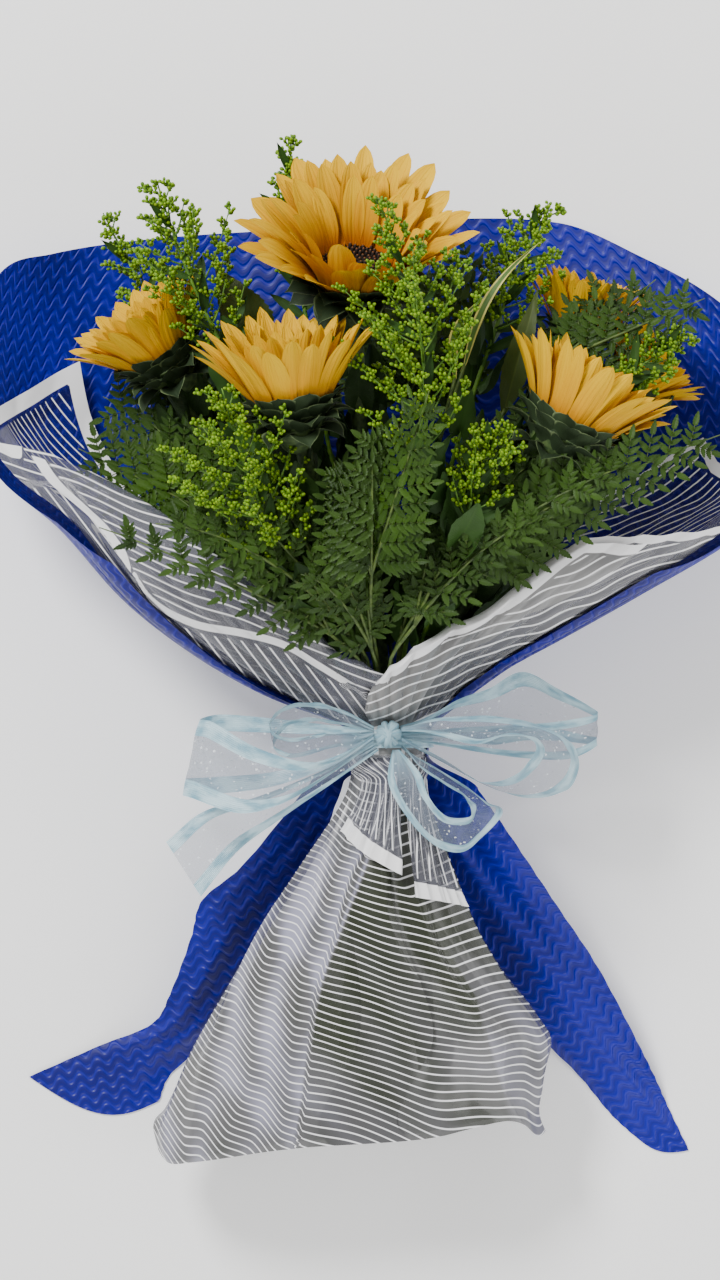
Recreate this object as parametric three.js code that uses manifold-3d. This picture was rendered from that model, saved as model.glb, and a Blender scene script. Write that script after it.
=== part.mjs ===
// A hand-tied bunch of sunflowers with goldenrod and fern, wrapped in embossed blue film and
// striped clear film, and tied with a sheer ribbon. It lies on its back, with no vase.
//
// Units are millimetres. X runs across the bunch, Y from the cut stems to the flower heads, and Z
// up from the surface. Every place below is measured from the ribbon's knot, at X = 0 and Y = 0.
// The finished group is then moved so that its origin is under the middle of its box.

import * as THREE from "three";
import { mergeVertices } from "three/addons/utils/BufferGeometryUtils.js";
import Module from "manifold-3d";

const wasm = await Module();
wasm.setup();

// Driving dimensions.
const NECK_HEIGHT = 75; // height of the bundle's axis over the surface, at the tie
const FLARE_HEIGHT = 100; // height of the wrap's axis where it has opened
const STEM_END = -190; // where the sunflower stems are cut
const TIE_WIDTH = 9;
const GAP = 0.35; // between pieces that touch
const CLEAR = 0.4; // least gap that a leaflet or a bud keeps from other pieces
const SMALLEST = 0.06; // ripples finer than this are smoothed out where parts join
const FILM = 1; // thickness of the blue film
const CLEAR_FILM = 0.8; // thickness of the striped clear film
const RIBBON = 0.8; // thickness of the ribbon

// The colours and finishes.
const finish = (color, roughness, extra = {}) =>
  new THREE.MeshStandardMaterial({ color, roughness, metalness: 0, ...extra });
const PETAL = finish(0xfdb515, 0.6);
const DISC = finish(0x3a2313, 0.9);
const CALYX = finish(0x2c3f22, 0.75);
const BUD = finish(0x9fb52a, 0.65);
const FERN = finish(0x2f5b27, 0.6);
const BLADE = finish(0x6f8f35, 0.55);
const TIE = finish(0xd8d2bd, 0.6);
const BLUE = finish(0x101fa8, 0.4);
const STRIPED = finish(0xe6e9ef, 0.25, { transparent: true, opacity: 0.5 });
const SATIN = finish(0xb7d3de, 0.45, { transparent: true, opacity: 0.8 });

const vec = (x, y, z) => new THREE.Vector3(x, y, z);
const radians = THREE.MathUtils.degToRad;
const mix = (a, b, t) => a + (b - a) * t;
const clamp01 = (t) => Math.min(1, Math.max(0, t));
const smooth = (t) => clamp01(t) ** 2 * (3 - 2 * clamp01(t));

// A repeatable scatter between 0 and 1 for each number.
function jitter(n) {
  const wave = Math.sin(n * 12.9898) * 43758.5453;
  return wave - Math.floor(wave);
}

// A smooth curve through points given as [where, value], read at one place.
function curveThrough(points) {
  return (where) => {
    if (where <= points[0][0]) return points[0][1];
    const last = points.length - 1;
    if (where >= points[last][0]) return points[last][1];
    const i = points.findIndex((point) => point[0] > where) - 1;
    const slope = (a, b) => (points[b][1] - points[a][1]) / (points[b][0] - points[a][0]);
    const [from, to] = [points[i], points[i + 1]];
    const width = to[0] - from[0];
    const slopeFrom = slope(Math.max(i - 1, 0), i + 1) * width;
    const slopeTo = slope(i, Math.min(i + 2, last)) * width;
    const t = (where - from[0]) / width;
    const rise = to[1] - from[1];
    const bend = (slopeFrom - rise) * t * (1 - t) * (1 - t) - (slopeTo - rise) * t * t * (1 - t);
    return from[1] + rise * t + bend;
  };
}

// --- Closed bodies ---

function geometryOf(points, triangles) {
  const geometry = new THREE.BufferGeometry();
  const numbers = points.flatMap((point) => point.toArray());
  geometry.setAttribute("position", new THREE.Float32BufferAttribute(numbers, 3));
  geometry.setIndex(triangles.flat());
  return geometry;
}

function solidOf(geometry) {
  const bare = geometry.clone();
  bare.deleteAttribute("normal");
  bare.deleteAttribute("uv");
  const merged = mergeVertices(bare, 1e-4);
  const body = new wasm.Mesh({
    numProp: 3,
    vertProperties: new Float32Array(merged.attributes.position.array),
    triVerts: new Uint32Array(merged.index.array),
  });
  return new wasm.Manifold(body);
}

const bodyOf = (points, triangles) => solidOf(geometryOf(points, triangles));

// Rings of points joined into a closed body. A ring of one point closes an end to a tip.
function skin(rings) {
  const points = rings.flat();
  const triangles = [];
  const starts = rings.map((ring, i) => rings.slice(0, i).reduce((sum, r) => sum + r.length, 0));
  const sides = Math.max(...rings.map((ring) => ring.length));
  const cap = (start, flip) => {
    for (let i = 1; i < sides - 1; i += 1) {
      triangles.push(flip ? [start, start + i + 1, start + i] : [start, start + i, start + i + 1]);
    }
  };
  if (rings[0].length > 1) cap(starts[0], true);
  for (let row = 0; row < rings.length - 1; row += 1) {
    for (let i = 0; i < sides; i += 1) {
      const j = (i + 1) % sides;
      const [near, far] = [rings[row].length > 1, rings[row + 1].length > 1];
      const [a, b] = [starts[row] + (near ? i : 0), starts[row] + (near ? j : 0)];
      const [c, d] = [starts[row + 1] + (far ? j : 0), starts[row + 1] + (far ? i : 0)];
      if (near) triangles.push([a, b, c]);
      if (far) triangles.push([a, c, d]);
    }
  }
  if (rings[rings.length - 1].length > 1) cap(starts[rings.length - 1], false);
  return bodyOf(points, triangles);
}

// A round stalk along a line of points, with a radius for each point.
function stalk(line, radii, sides) {
  const rings = [];
  let across = vec(0, 0, 0);
  line.forEach((point, i) => {
    const along = line[Math.min(i + 1, line.length - 1)].clone();
    along.sub(line[Math.max(i - 1, 0)]).normalize();
    if (i === 0) across = Math.abs(along.z) < 0.8 ? vec(0, 0, 1) : vec(1, 0, 0);
    across = across.clone().addScaledVector(along, -across.dot(along)).normalize();
    const other = along.clone().cross(across);
    if (radii[i] === 0) {
      rings.push([point.clone()]);
      return;
    }
    rings.push(Array.from({ length: sides }, (_, side) => {
      const angle = (side / sides) * 2 * Math.PI;
      const out = across.clone().multiplyScalar(Math.cos(angle)).addScaledVector(other, Math.sin(angle));
      return point.clone().addScaledVector(out, radii[i]);
    }));
  });
  return skin(rings);
}

// A petal, bract or leaflet: flat below, with a ridge above, from a root to a pointed tip.
function blade(spine, halfWidths, ridge, face) {
  const rings = spine.map((point, i) => {
    if (halfWidths[i] === 0) return [point.clone()];
    const along = spine[Math.min(i + 1, spine.length - 1)].clone();
    along.sub(spine[Math.max(i - 1, 0)]).normalize();
    const side = along.clone().cross(face).normalize();
    const up = side.clone().cross(along);
    return [
      point.clone().addScaledVector(side, -halfWidths[i]),
      point.clone().addScaledVector(up, ridge),
      point.clone().addScaledVector(side, halfWidths[i]),
    ];
  });
  return skin(rings);
}

const gridOf = (rows, columns, point) => Array.from({ length: rows }, (_, row) => (
  Array.from({ length: columns }, (__, column) => point(row, column))));

// A film or ribbon of even thickness over a grid of points. Both faces split alike.
function film(grid, thickness, { ring = false, floor = false } = {}) {
  const rows = grid.length;
  const columns = grid[0].length;
  const at = (row, column) => {
    const wrapped = ring ? (column + columns) % columns : Math.min(Math.max(column, 0), columns - 1);
    return grid[Math.min(Math.max(row, 0), rows - 1)][wrapped];
  };
  const points = [];
  for (const side of [0.5, -0.5]) {
    for (let row = 0; row < rows; row += 1) {
      for (let column = 0; column < columns; column += 1) {
        const down = at(row + 1, column).clone().sub(at(row - 1, column));
        const across = at(row, column + 1).clone().sub(at(row, column - 1));
        const normal = across.cross(down).normalize();
        const point = at(row, column).clone().addScaledVector(normal, side * thickness);
        if (floor) point.z = Math.max(point.z, side * normal.z > 0 ? thickness : 0);
        points.push(point);
      }
    }
  }
  const below = rows * columns;
  const index = (row, column) => row * columns + (column % columns);
  const triangles = [];
  const quad = (a, b, c, d) => triangles.push([a, b, c], [a, c, d]);
  const lastColumn = ring ? columns : columns - 1;
  for (let row = 0; row < rows - 1; row += 1) {
    for (let column = 0; column < lastColumn; column += 1) {
      const [a, b] = [index(row, column), index(row, column + 1)];
      const [c, d] = [index(row + 1, column + 1), index(row + 1, column)];
      quad(a, b, c, d);
      triangles.push([a + below, c + below, b + below], [a + below, d + below, c + below]);
    }
  }
  for (let column = 0; column < lastColumn; column += 1) {
    const [a, b] = [index(0, column), index(0, column + 1)];
    const [c, d] = [index(rows - 1, column), index(rows - 1, column + 1)];
    quad(b, a, a + below, b + below);
    quad(c, d, d + below, c + below);
  }
  if (!ring) {
    for (let row = 0; row < rows - 1; row += 1) {
      const [a, b] = [index(row, 0), index(row + 1, 0)];
      const [c, d] = [index(row, columns - 1), index(row + 1, columns - 1)];
      quad(a, b, b + below, a + below);
      quad(d, c, c + below, d + below);
    }
  }
  return bodyOf(points, triangles);
}

// --- The pieces made so far ---

const group = new THREE.Group();
const made = [];

function boxesApart(a, b, room) {
  const [p, q] = [a.boundingBox(), b.boundingBox()];
  return [0, 1, 2].some((k) => p.min[k] > q.max[k] + room || q.min[k] > p.max[k] + room);
}

function isClear(body) {
  return made.every((other) => boxesApart(body, other, CLEAR) || body.minGap(other, CLEAR) >= CLEAR);
}

function addPiece(name, body, material) {
  const parts = body.simplify(SMALLEST).decompose();
  const largest = parts.reduce((best, part) => (part.volume() > best.volume() ? part : best));
  const { vertProperties, triVerts } = largest.getMesh();
  const geometry = new THREE.BufferGeometry();
  geometry.setAttribute("position", new THREE.BufferAttribute(vertProperties.slice(), 3));
  geometry.setIndex(new THREE.BufferAttribute(triVerts.slice(), 1));
  geometry.computeVertexNormals();
  const mesh = new THREE.Mesh(geometry, material);
  mesh.name = name;
  group.add(mesh);
  made.push(largest);
}

// A core with all the parts that are clear of the pieces made so far, joined into one body.
const joined = (core, parts) => wasm.Manifold.union([core, ...parts.filter(isClear)]);

// --- The wraps' cone ---

// How far the wraps reach sideways from the axis, by the distance from the knot along Y.
const REACH = {
  left: curveThrough([[-16, 24.6], [4, 26.5], [27, 77], [48, 113], [81, 155], [126, 197], [156, 233],
    [200, 258], [260, 268], [320, 262]]),
  right: curveThrough([[-16, 24.6], [4, 26.5], [39, 67], [60, 103], [87, 151], [114, 199], [140, 235],
    [190, 258], [250, 262], [320, 255]]),
};
// How far they reach towards the surface and away from it.
const DEPTH = curveThrough([[-16, 24.6], [4, 26.5], [20, 47], [50, 74], [100, 92], [150, 100], [250, 106]]);
const axisHeight = (y) => mix(NECK_HEIGHT, FLARE_HEIGHT, smooth(y / 120));

// A point of the cone: turn 0 is at the back, on the surface, and 180 at the front, on top.
function conePoint(side, turn, y) {
  const x = REACH[side](y) * Math.sin(radians(turn)) * (side === "left" ? -1 : 1);
  return vec(x, y, axisHeight(y) - DEPTH(y) * Math.cos(radians(turn)));
}

// The same, moved inwards from the cone's wall.
function cone(side, turn, y, inside = 0) {
  const point = conePoint(side, turn, y);
  const around = conePoint(side, turn + 1, y).sub(conePoint(side, turn - 1, y));
  const outwards = conePoint(side, turn, y + 1).sub(conePoint(side, turn, y - 1));
  const normal = around.cross(outwards).normalize();
  return point.addScaledVector(normal, side === "left" ? -inside : inside);
}

// Where the rows of a sheet lie along Y: close together at the neck, then out to its rim.
const NECK_LEVELS = [50, 34, 21, 12, 4];
const OUTER_ROWS = [1, 0.8, 0.6, 0.4, 0.2];
const levels = (rim) => [...OUTER_ROWS.map((t) => mix(NECK_LEVELS[0], rim, t)), ...NECK_LEVELS];
const LEVELS = OUTER_ROWS.length + NECK_LEVELS.length;

// --- The skirt of clear film below the knot ---

const SKIRT = {
  left: curveThrough([[-256, -128], [-246, -131], [-225, -125], [-195, -115], [-159, -98],
    [-117, -76], [-81, -53], [-39, -26], [-18, -21.5], [10, -21.5]]),
  right: curveThrough([[-256, 96], [-240, 92], [-225, 94], [-189, 97], [-141, 68], [-108, 50],
    [-69, 34], [-39, 24], [-18, 21.5], [10, 21.5]]),
  top: curveThrough([[-256, 103], [-180, 104], [-110, 109], [-60, 106], [-18, 96.5], [10, 96.5]]),
  bottom: curveThrough([[-256, 0.4], [-215, 0.4], [-150, 16], [-75, 41], [-18, 53.5], [10, 53.5]]),
};

// A point of the skirt's wall: turn 0 is at the back and 180 on top, to the left from 0 to 360.
function skirtWall(turn, y, outside = 0) {
  const halfWidth = (SKIRT.right(y) - SKIRT.left(y)) / 2 + outside;
  const halfDepth = (SKIRT.top(y) - SKIRT.bottom(y)) / 2 + outside;
  const middleX = (SKIRT.right(y) + SKIRT.left(y)) / 2;
  const middleZ = (SKIRT.top(y) + SKIRT.bottom(y)) / 2;
  const x = middleX - halfWidth * Math.sin(radians(turn));
  return vec(x, y, middleZ - halfDepth * Math.cos(radians(turn)));
}

function skirt() {
  const columns = 18;
  const rows = [2, -18, -39, -69, -110, -160, -210, -256];
  const grid = rows.map((y) => Array.from({ length: columns }, (_, column) => {
    const turn = (column / columns) * 360;
    const opened = smooth((-y - 30) / 150);
    const onTop = smooth((90 - Math.abs(turn - 180)) / 40);
    return skirtWall(turn, y, opened * onTop * 5 * Math.sin(radians(turn * 5 + y * 0.9)));
  }));
  return film(grid, CLEAR_FILM, { ring: true, floor: true });
}

// --- The blue film ---

const BLUE_SIDE = {
  left: {
    rim: curveThrough([[0, 311], [30, 303], [50, 292], [62, 280], [75, 225], [85, 175], [92, 140],
      [108, 98]]),
    inner: [[-27, -30, 50], [-42, -69, 43], [-59, -99, 35], [-77, -129, 25], [-94, -159, 14],
      [-108, -186, 6], [-134, -210, 1.5], [-140, -225, 0.5]],
    outer: [[-47, -30, 60], [-89, -81, 52], [-113, -102, 46], [-119, -123, 40], [-131, -165, 24],
      [-140, -188, 12], [-173, -201, 2.5], [-218, -210, 0.5]],
    backTurn: -4,
  },
  right: {
    rim: curveThrough([[0, 314], [24, 312], [37, 290], [50, 264], [65, 225], [80, 170], [92, 125],
      [108, 92]]),
    inner: [[24, -28, 49], [31, -69, 43], [46, -105, 33], [64, -141, 21], [86, -177, 11],
      [118, -210, 4], [137, -233, 1.5], [151, -246, 0.5]],
    outer: [[55, -34, 60], [79, -69, 52], [103, -105, 42], [127, -141, 32], [151, -186, 20],
      [163, -210, 10], [172, -230, 2.5], [184, -255, 0.5]],
    backTurn: -4,
  },
};

function edgeCurve(points) {
  return new THREE.CatmullRomCurve3(points.map((point) => vec(...point)));
}

// One sheet of blue film: a fan behind the flowers, gathered at the neck, with a tail below it.
function blueFilm(side) {
  const { rim, inner, outer, backTurn } = BLUE_SIDE[side];
  const frontTurn = 108;
  const columns = 8;
  const lap = side === "left" ? 2.6 : 0;
  const grid = gridOf(LEVELS, columns + 1, (row, column) => {
    const opened = 1 - row / (LEVELS - 1);
    const turn = mix(frontTurn, mix(1.5, backTurn, smooth(opened * 5)), column / columns);
    const y = levels(rim(Math.max(turn, 0)))[row];
    const raised = lap * smooth((22 - turn) / 12);
    const ruffle = 2 * smooth(opened * 1.5) * Math.sin(radians(turn * 7)) * smooth((turn - 25) / 25);
    const point = cone(side, turn, y, raised + ruffle);
    point.z = Math.max(point.z, FILM / 2 + raised);
    return point;
  });
  grid.push(Array.from({ length: columns + 1 }, (_, column) => (
    cone(side, mix(frontTurn, 1.5, column / columns), -12))));
  const [innerEdge, outerEdge] = [edgeCurve(inner), edgeCurve(outer)];
  const tailRows = 7;
  for (let row = 0; row <= tailRows; row += 1) {
    const t = row / tailRows;
    const [from, to] = [outerEdge.getPoint(t), innerEdge.getPoint(t)];
    grid.push(Array.from({ length: columns + 1 }, (_, column) => {
      const w = column / columns;
      const point = from.clone().lerp(to, w);
      point.z += smooth(t * 5) * (1 - smooth(t * 1.1)) * 4 * Math.sin(w * Math.PI * 2);
      point.z = Math.max(point.z, FILM / 2);
      return point;
    }));
  }
  const facing = side === "left" ? grid : grid.map((row) => row.slice().reverse());
  return film(facing, FILM, { floor: true });
}

// --- The striped clear film above the knot ---

const COLLAR_SIDE = {
  left: {
    back: () => 46,
    rim: curveThrough([[46, 226], [60, 206], [75, 192], [90, 182], [105, 172], [118, 166], [128, 153]]),
    fold: (y) => Math.min(128 + Math.max(153 - y, 0) * 0.33, 168),
    lapel: () => 117,
    low: { from: 141, to: 196, y: -72 },
  },
  right: {
    back: (y) => mix(31, 50, clamp01((y - 132) / 47)),
    rim: curveThrough([[31, 132], [50, 179], [54, 165], [70, 148], [85, 135], [100, 125], [120, 115],
      [145, 114]]),
    fold: (y) => Math.min(143 + Math.max(114 - y, 0) * 0.55, 170),
    lapel: (y) => mix(150, 128, clamp01((y - 40) / 60)),
    low: { from: 115, to: 154, y: -104 },
  },
};

// One sheet of clear film: it stands inside the blue film, comes round the side to the front,
// and folds back over itself as a lapel. Its short lower end lies on the skirt.
function clearFilm(side) {
  const { back, rim, fold, lapel, low } = COLLAR_SIDE[side];
  const flatColumns = 7;
  const nose = flatColumns + 1; // where the film turns back on itself
  const lapelColumns = 3;
  const columns = nose + 1 + lapelColumns;
  const raised = (column) => clamp01((column - flatColumns) / 2); // 0 flat, 1 on the lapel
  const lapelShare = (column) => clamp01((column - nose - 1) / lapelColumns);
  const turnAt = (column, y) => {
    if (column <= flatColumns) return mix(back(y), fold(y), column / flatColumns);
    if (column === nose) return fold(y) + 60 / REACH[side](y);
    return mix(fold(y), lapel(y), lapelShare(column));
  };
  const grid = gridOf(LEVELS, columns + 1, (row, column) => {
    const guess = levels(rim(turnAt(column, rim(110))))[row];
    const turn = turnAt(column, guess);
    const y = levels(rim(turn))[row];
    const inside = mix(2.1, 6, smooth((y - 4) / 30)) + 4 * smooth((y - 90) / 40);
    return cone(side, turn, y, inside - raised(column) * mix(1.6, 7, smooth((y - 4) / 80)));
  });
  grid.push(Array.from({ length: columns + 1 }, (_, column) => (
    cone(side, turnAt(column, 0), -12, 1.9 - raised(column) * 1.55))));
  const lowerEnd = [[-14, 2.2], [-17, 2.5], [-20, 2.9], [-24, 3.3], [-28, 3.6], [low.y, 6]];
  for (const [y, outside] of lowerEnd) {
    grid.push(Array.from({ length: columns + 1 }, (_, column) => {
      const share = column > nose ? 1 - lapelShare(column) * 0.5 : Math.min(column / flatColumns, 1.02);
      const turn = mix(turnAt(column, 0), mix(low.from, low.to, share), smooth((-12 - y) / 16));
      return skirtWall(side === "left" ? turn : 360 - turn, y, outside + raised(column) * 1.55);
    }));
  }
  return film(side === "left" ? grid : grid.map((row) => row.slice().reverse()), CLEAR_FILM);
}

// --- Stems, bedded side by side in one bundle ---

const STEM_LEVELS = [-190, -130, -70, -36, -8, 8, 24, 46, 75, 105, 140, 175, 210];
const PACKING_ROUNDS = 900;
const BEDDING_ROUNDS = 120;
const CROWDING = 10; // how far out in the neck a stem starts, for each unit of its slope

// Pushes two round stems apart where they lie too close. The thinner one gives way more.
function pushApart(p, q, radiusP, radiusQ) {
  const apart = Math.hypot(q[0] - p[0], q[1] - p[1]) || 0.01;
  const needed = radiusP + radiusQ + GAP * 1.7;
  if (apart >= needed) return;
  const share = radiusP / (radiusP + radiusQ);
  for (const k of [0, 1]) {
    const step = ((q[k] - p[k]) * (needed - apart)) / apart;
    p[k] -= step * (1 - share);
    q[k] += step * share;
  }
}

const pairs = (list, visit) => list.forEach((a, i) => list.slice(i + 1).forEach((b) => visit(a, b)));

// The stems' places across the neck: each leans out the way that it goes, and all are packed tight.
function packNeck(stems) {
  for (const stem of stems) {
    stem.slope = [stem.top.x, stem.top.z - NECK_HEIGHT].map((value) => value / stem.top.y);
    stem.slot = stem.slope.map((value) => value * CROWDING);
  }
  for (let round = 0; round < PACKING_ROUNDS; round += 1) {
    const pull = round < PACKING_ROUNDS * 0.8 ? 0.996 : 1;
    for (const { slot } of stems) slot.forEach((value, k) => { slot[k] = value * pull; });
    pairs(stems, (a, b) => pushApart(a.slot, b.slot, a.radius, b.radius));
  }
}

// The line of every stem, from its cut end through the neck to where its head or foliage starts.
function bedStems(stems) {
  packNeck(stems);
  for (const stem of stems) {
    const { top, aim, slot } = stem;
    stem.levels = STEM_LEVELS.filter((y) => y >= stem.foot && y < top.y - 12);
    stem.places = stem.levels.map((y) => [0, 1].map((k) => {
      const middle = k === 1 ? mix(50, NECK_HEIGHT, smooth((y + 190) / 190)) : 0;
      if (y <= 8) return middle + slot[k] * (1 + Math.max(-8 - y, 0) / 150);
      const t = (y - 8) / (top.y - 8);
      const end = k === 1 ? top.z : top.x;
      const start = slot[k] + (k === 1 ? NECK_HEIGHT : 0);
      const turnIn = [aim.x, aim.z][k] / Math.max(aim.y, 0.4) - stem.slope[k];
      return mix(start, end, t) + (t ** 3 - t * t) * turnIn * top.y * 0.5;
    }));
  }
  for (let round = 0; round < BEDDING_ROUNDS; round += 1) {
    for (const y of STEM_LEVELS.filter((level) => level > 8)) {
      pairs(stems.filter((stem) => stem.levels.includes(y)), (a, b) => {
        const [p, q] = [a, b].map((stem) => stem.places[stem.levels.indexOf(y)]);
        const lean = (stem) => stem.radius * Math.hypot(1, ...stem.slope) * 1.08;
        pushApart(p, q, lean(a), lean(b));
      });
    }
  }
  for (const stem of stems) {
    stem.line = stem.levels.map((y, i) => vec(stem.places[i][0], y, stem.places[i][1]));
    stem.line.push(stem.top.clone());
  }
}

// --- Sunflowers ---

const SUNFLOWERS = [
  { name: "sunflower_top", heart: [-20, 284, 158], lean: 2, rise: 44, disc: 23, petal: 60, spread: 66,
    rows: [13, 10] },
  { name: "sunflower_front", heart: [-56, 203, 200], lean: -7, rise: 14, disc: 19, petal: 57, spread: 44,
    rows: [12, 9] },
  { name: "sunflower_left", heart: [-139, 224, 118], lean: -34, rise: 14, disc: 18, petal: 52, spread: 46,
    rows: [11, 8] },
  { name: "sunflower_right", heart: [103, 189, 188], lean: 30, rise: 4, disc: 19, petal: 55, spread: 42,
    rows: [12, 9] },
  { name: "sunflower_back", heart: [114, 249, 92], lean: 14, rise: 8, disc: 13, petal: 40, spread: 40,
    rows: [9, 5] },
  { name: "sunflower_far_right", heart: [156, 208, 92], lean: 44, rise: 0, disc: 13, petal: 40, spread: 38,
    rows: [9, 5] },
];
const STEM_RADIUS = 5;
const RIDGE = 1.3; // how far the middle of a petal, bract or leaflet stands over its edges

function axisOf({ lean, rise }) {
  const flat = Math.cos(radians(rise));
  return vec(Math.sin(radians(lean)) * flat, Math.cos(radians(lean)) * flat, Math.sin(radians(rise)));
}

for (const flower of SUNFLOWERS) {
  flower.axis = axisOf(flower);
  flower.heart = vec(...flower.heart);
  flower.turned = new THREE.Quaternion().setFromUnitVectors(vec(0, 0, 1), flower.axis);
  flower.cup = flower.disc * 0.75 + 5;
  flower.stem = {
    radius: flower.disc > 15 ? STEM_RADIUS : STEM_RADIUS * 0.75,
    foot: STEM_END,
    top: flower.heart.clone().addScaledVector(flower.axis, -flower.cup),
    aim: flower.axis,
  };
}

// A place in a flower's head: how far out from its axis, which way round, and how far along it.
function inHead(flower, out, around, along) {
  const local = vec(out * Math.cos(around), out * Math.sin(around), along);
  return local.applyQuaternion(flower.turned).add(flower.heart);
}

// A petal or bract of a head, which bends over from one angle to another along its steps.
function ray(flower, { root, height, around, length, from, to, steps, halfWidths }) {
  const spine = [];
  let [out, along] = [root, height];
  steps.forEach((step, i) => {
    if (i > 0) {
      const angle = radians(mix(from, to, (step + steps[i - 1]) / 2));
      out += Math.sin(angle) * length * (step - steps[i - 1]);
      along += Math.cos(angle) * length * (step - steps[i - 1]);
    }
    spine.push(inHead(flower, out, around, along));
  });
  const face = inHead(flower, 0, 0, length * 0.8).sub(spine[1]).normalize();
  return blade(spine, halfWidths, RIDGE, face);
}

function petals(flower, seed) {
  const { disc, petal, spread, rows } = flower;
  const rim = [[disc + 1.2, 0.4], [disc + 3.8, 0.4], [disc + 3, 4.6], [disc + 1.2, 0.4]];
  const profile = rim.map(([out, along]) => new THREE.Vector2(out, along));
  const ring = new THREE.LatheGeometry(profile, 13).rotateX(Math.PI / 2);
  ring.applyQuaternion(flower.turned).translate(...flower.heart.toArray());
  const parts = rows.flatMap((count, row) => Array.from({ length: count }, (_, i) => {
    const chance = (k) => jitter(seed + row * 50 + i * 3 + k);
    const half = Math.min(8.2, (Math.PI * (disc + petal * 0.42 * Math.sin(radians(spread)))) / count - 0.4);
    return ray(flower, {
      root: disc + 1.9,
      height: 2 + row * 0.9,
      around: ((i + row * 0.5 + (chance(0) - 0.5) * 0.16) / count) * 2 * Math.PI,
      length: petal * (1 - row * 0.09) * (0.9 + 0.14 * chance(1)),
      from: spread - row * 15 - 12,
      to: spread - row * 15 + 16 + (chance(2) - 0.5) * 8,
      steps: [0, 0.3, 0.66, 1],
      halfWidths: [0, half * 0.85, half, 0],
    });
  }));
  return wasm.Manifold.union([solidOf(ring), ...parts]);
}

// The disc's florets are relief on a low dome.
function florets(flower) {
  const sides = 12;
  const rings = [[1, 0.4], [0.98, 2.4], [0.7, 4], [0.38, 3.8]].map(([share, along], row) => (
    Array.from({ length: sides }, (_, i) => {
      const bump = row > 0 && (i + row) % 2 ? 1.3 : 0;
      const around = (i / sides) * 2 * Math.PI;
      return inHead(flower, flower.disc * share - bump * 0.4, around, along + bump);
    })));
  return skin([...rings, [inHead(flower, 0, 0, 2.2)]]);
}

function calyx(flower, seed) {
  const { stem, disc, cup } = flower;
  const along = (share) => flower.heart.clone().addScaledVector(flower.axis, -cup * share);
  const line = [...stem.line, along(0.72), along(0.3), along(0)];
  const radii = [...stem.line.map(() => stem.radius), disc * 0.55 + 2, disc * 0.95, disc + 3];
  const body = stalk(line, radii, 6);
  const bracts = [[8, 0.12, 24, 48], [7, 0.42, 26, 66]].flatMap(([count, down, length, angle], row) => (
    Array.from({ length: count }, (_, i) => ray(flower, {
      root: disc * (0.94 - row * 0.16),
      height: -cup * down - 2,
      around: ((i + row * 0.5) / count) * 2 * Math.PI,
      length: length * (disc / 19) * (0.9 + 0.2 * jitter(seed + i + row * 20)),
      from: angle - 4,
      to: angle + 26 + row * 8,
      steps: [0, 0.52, 1],
      halfWidths: [0, disc * 0.36, 0],
    }))));
  return joined(body, bracts);
}

// --- Goldenrod ---

const SPRAYS = [
  { name: "goldenrod_top", base: [-52, 268, 100], tip: [-58, 362, 96], spread: 20, twigs: 5 },
  { name: "goldenrod_back_left", base: [-104, 206, 66], tip: [-172, 316, 64], spread: 26, twigs: 6 },
  { name: "goldenrod_left", base: [-96, 226, 142], tip: [-138, 332, 150], spread: 46, twigs: 8 },
  { name: "goldenrod_middle", base: [22, 160, 212], tip: [-8, 318, 236], spread: 58, twigs: 10 },
  { name: "goldenrod_front", base: [-58, 98, 176], tip: [-98, 206, 230], spread: 54, twigs: 9 },
  { name: "goldenrod_back_right", base: [62, 236, 120], tip: [98, 318, 118], spread: 34, twigs: 6 },
  { name: "goldenrod_far_right", base: [120, 196, 132], tip: [182, 240, 140], spread: 26, twigs: 5 },
  { name: "goldenrod_low_right", base: [46, 128, 205], tip: [66, 184, 216], spread: 34, twigs: 5 },
];
const GOLDENROD_RADIUS = 1.5;
const BUD_RADIUS = 2.7;

for (const spray of SPRAYS) {
  spray.base = vec(...spray.base);
  spray.tip = vec(...spray.tip);
  spray.stem = {
    radius: GOLDENROD_RADIUS,
    foot: -70,
    top: spray.base,
    aim: spray.tip.clone().sub(spray.base).normalize(),
  };
}

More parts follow.
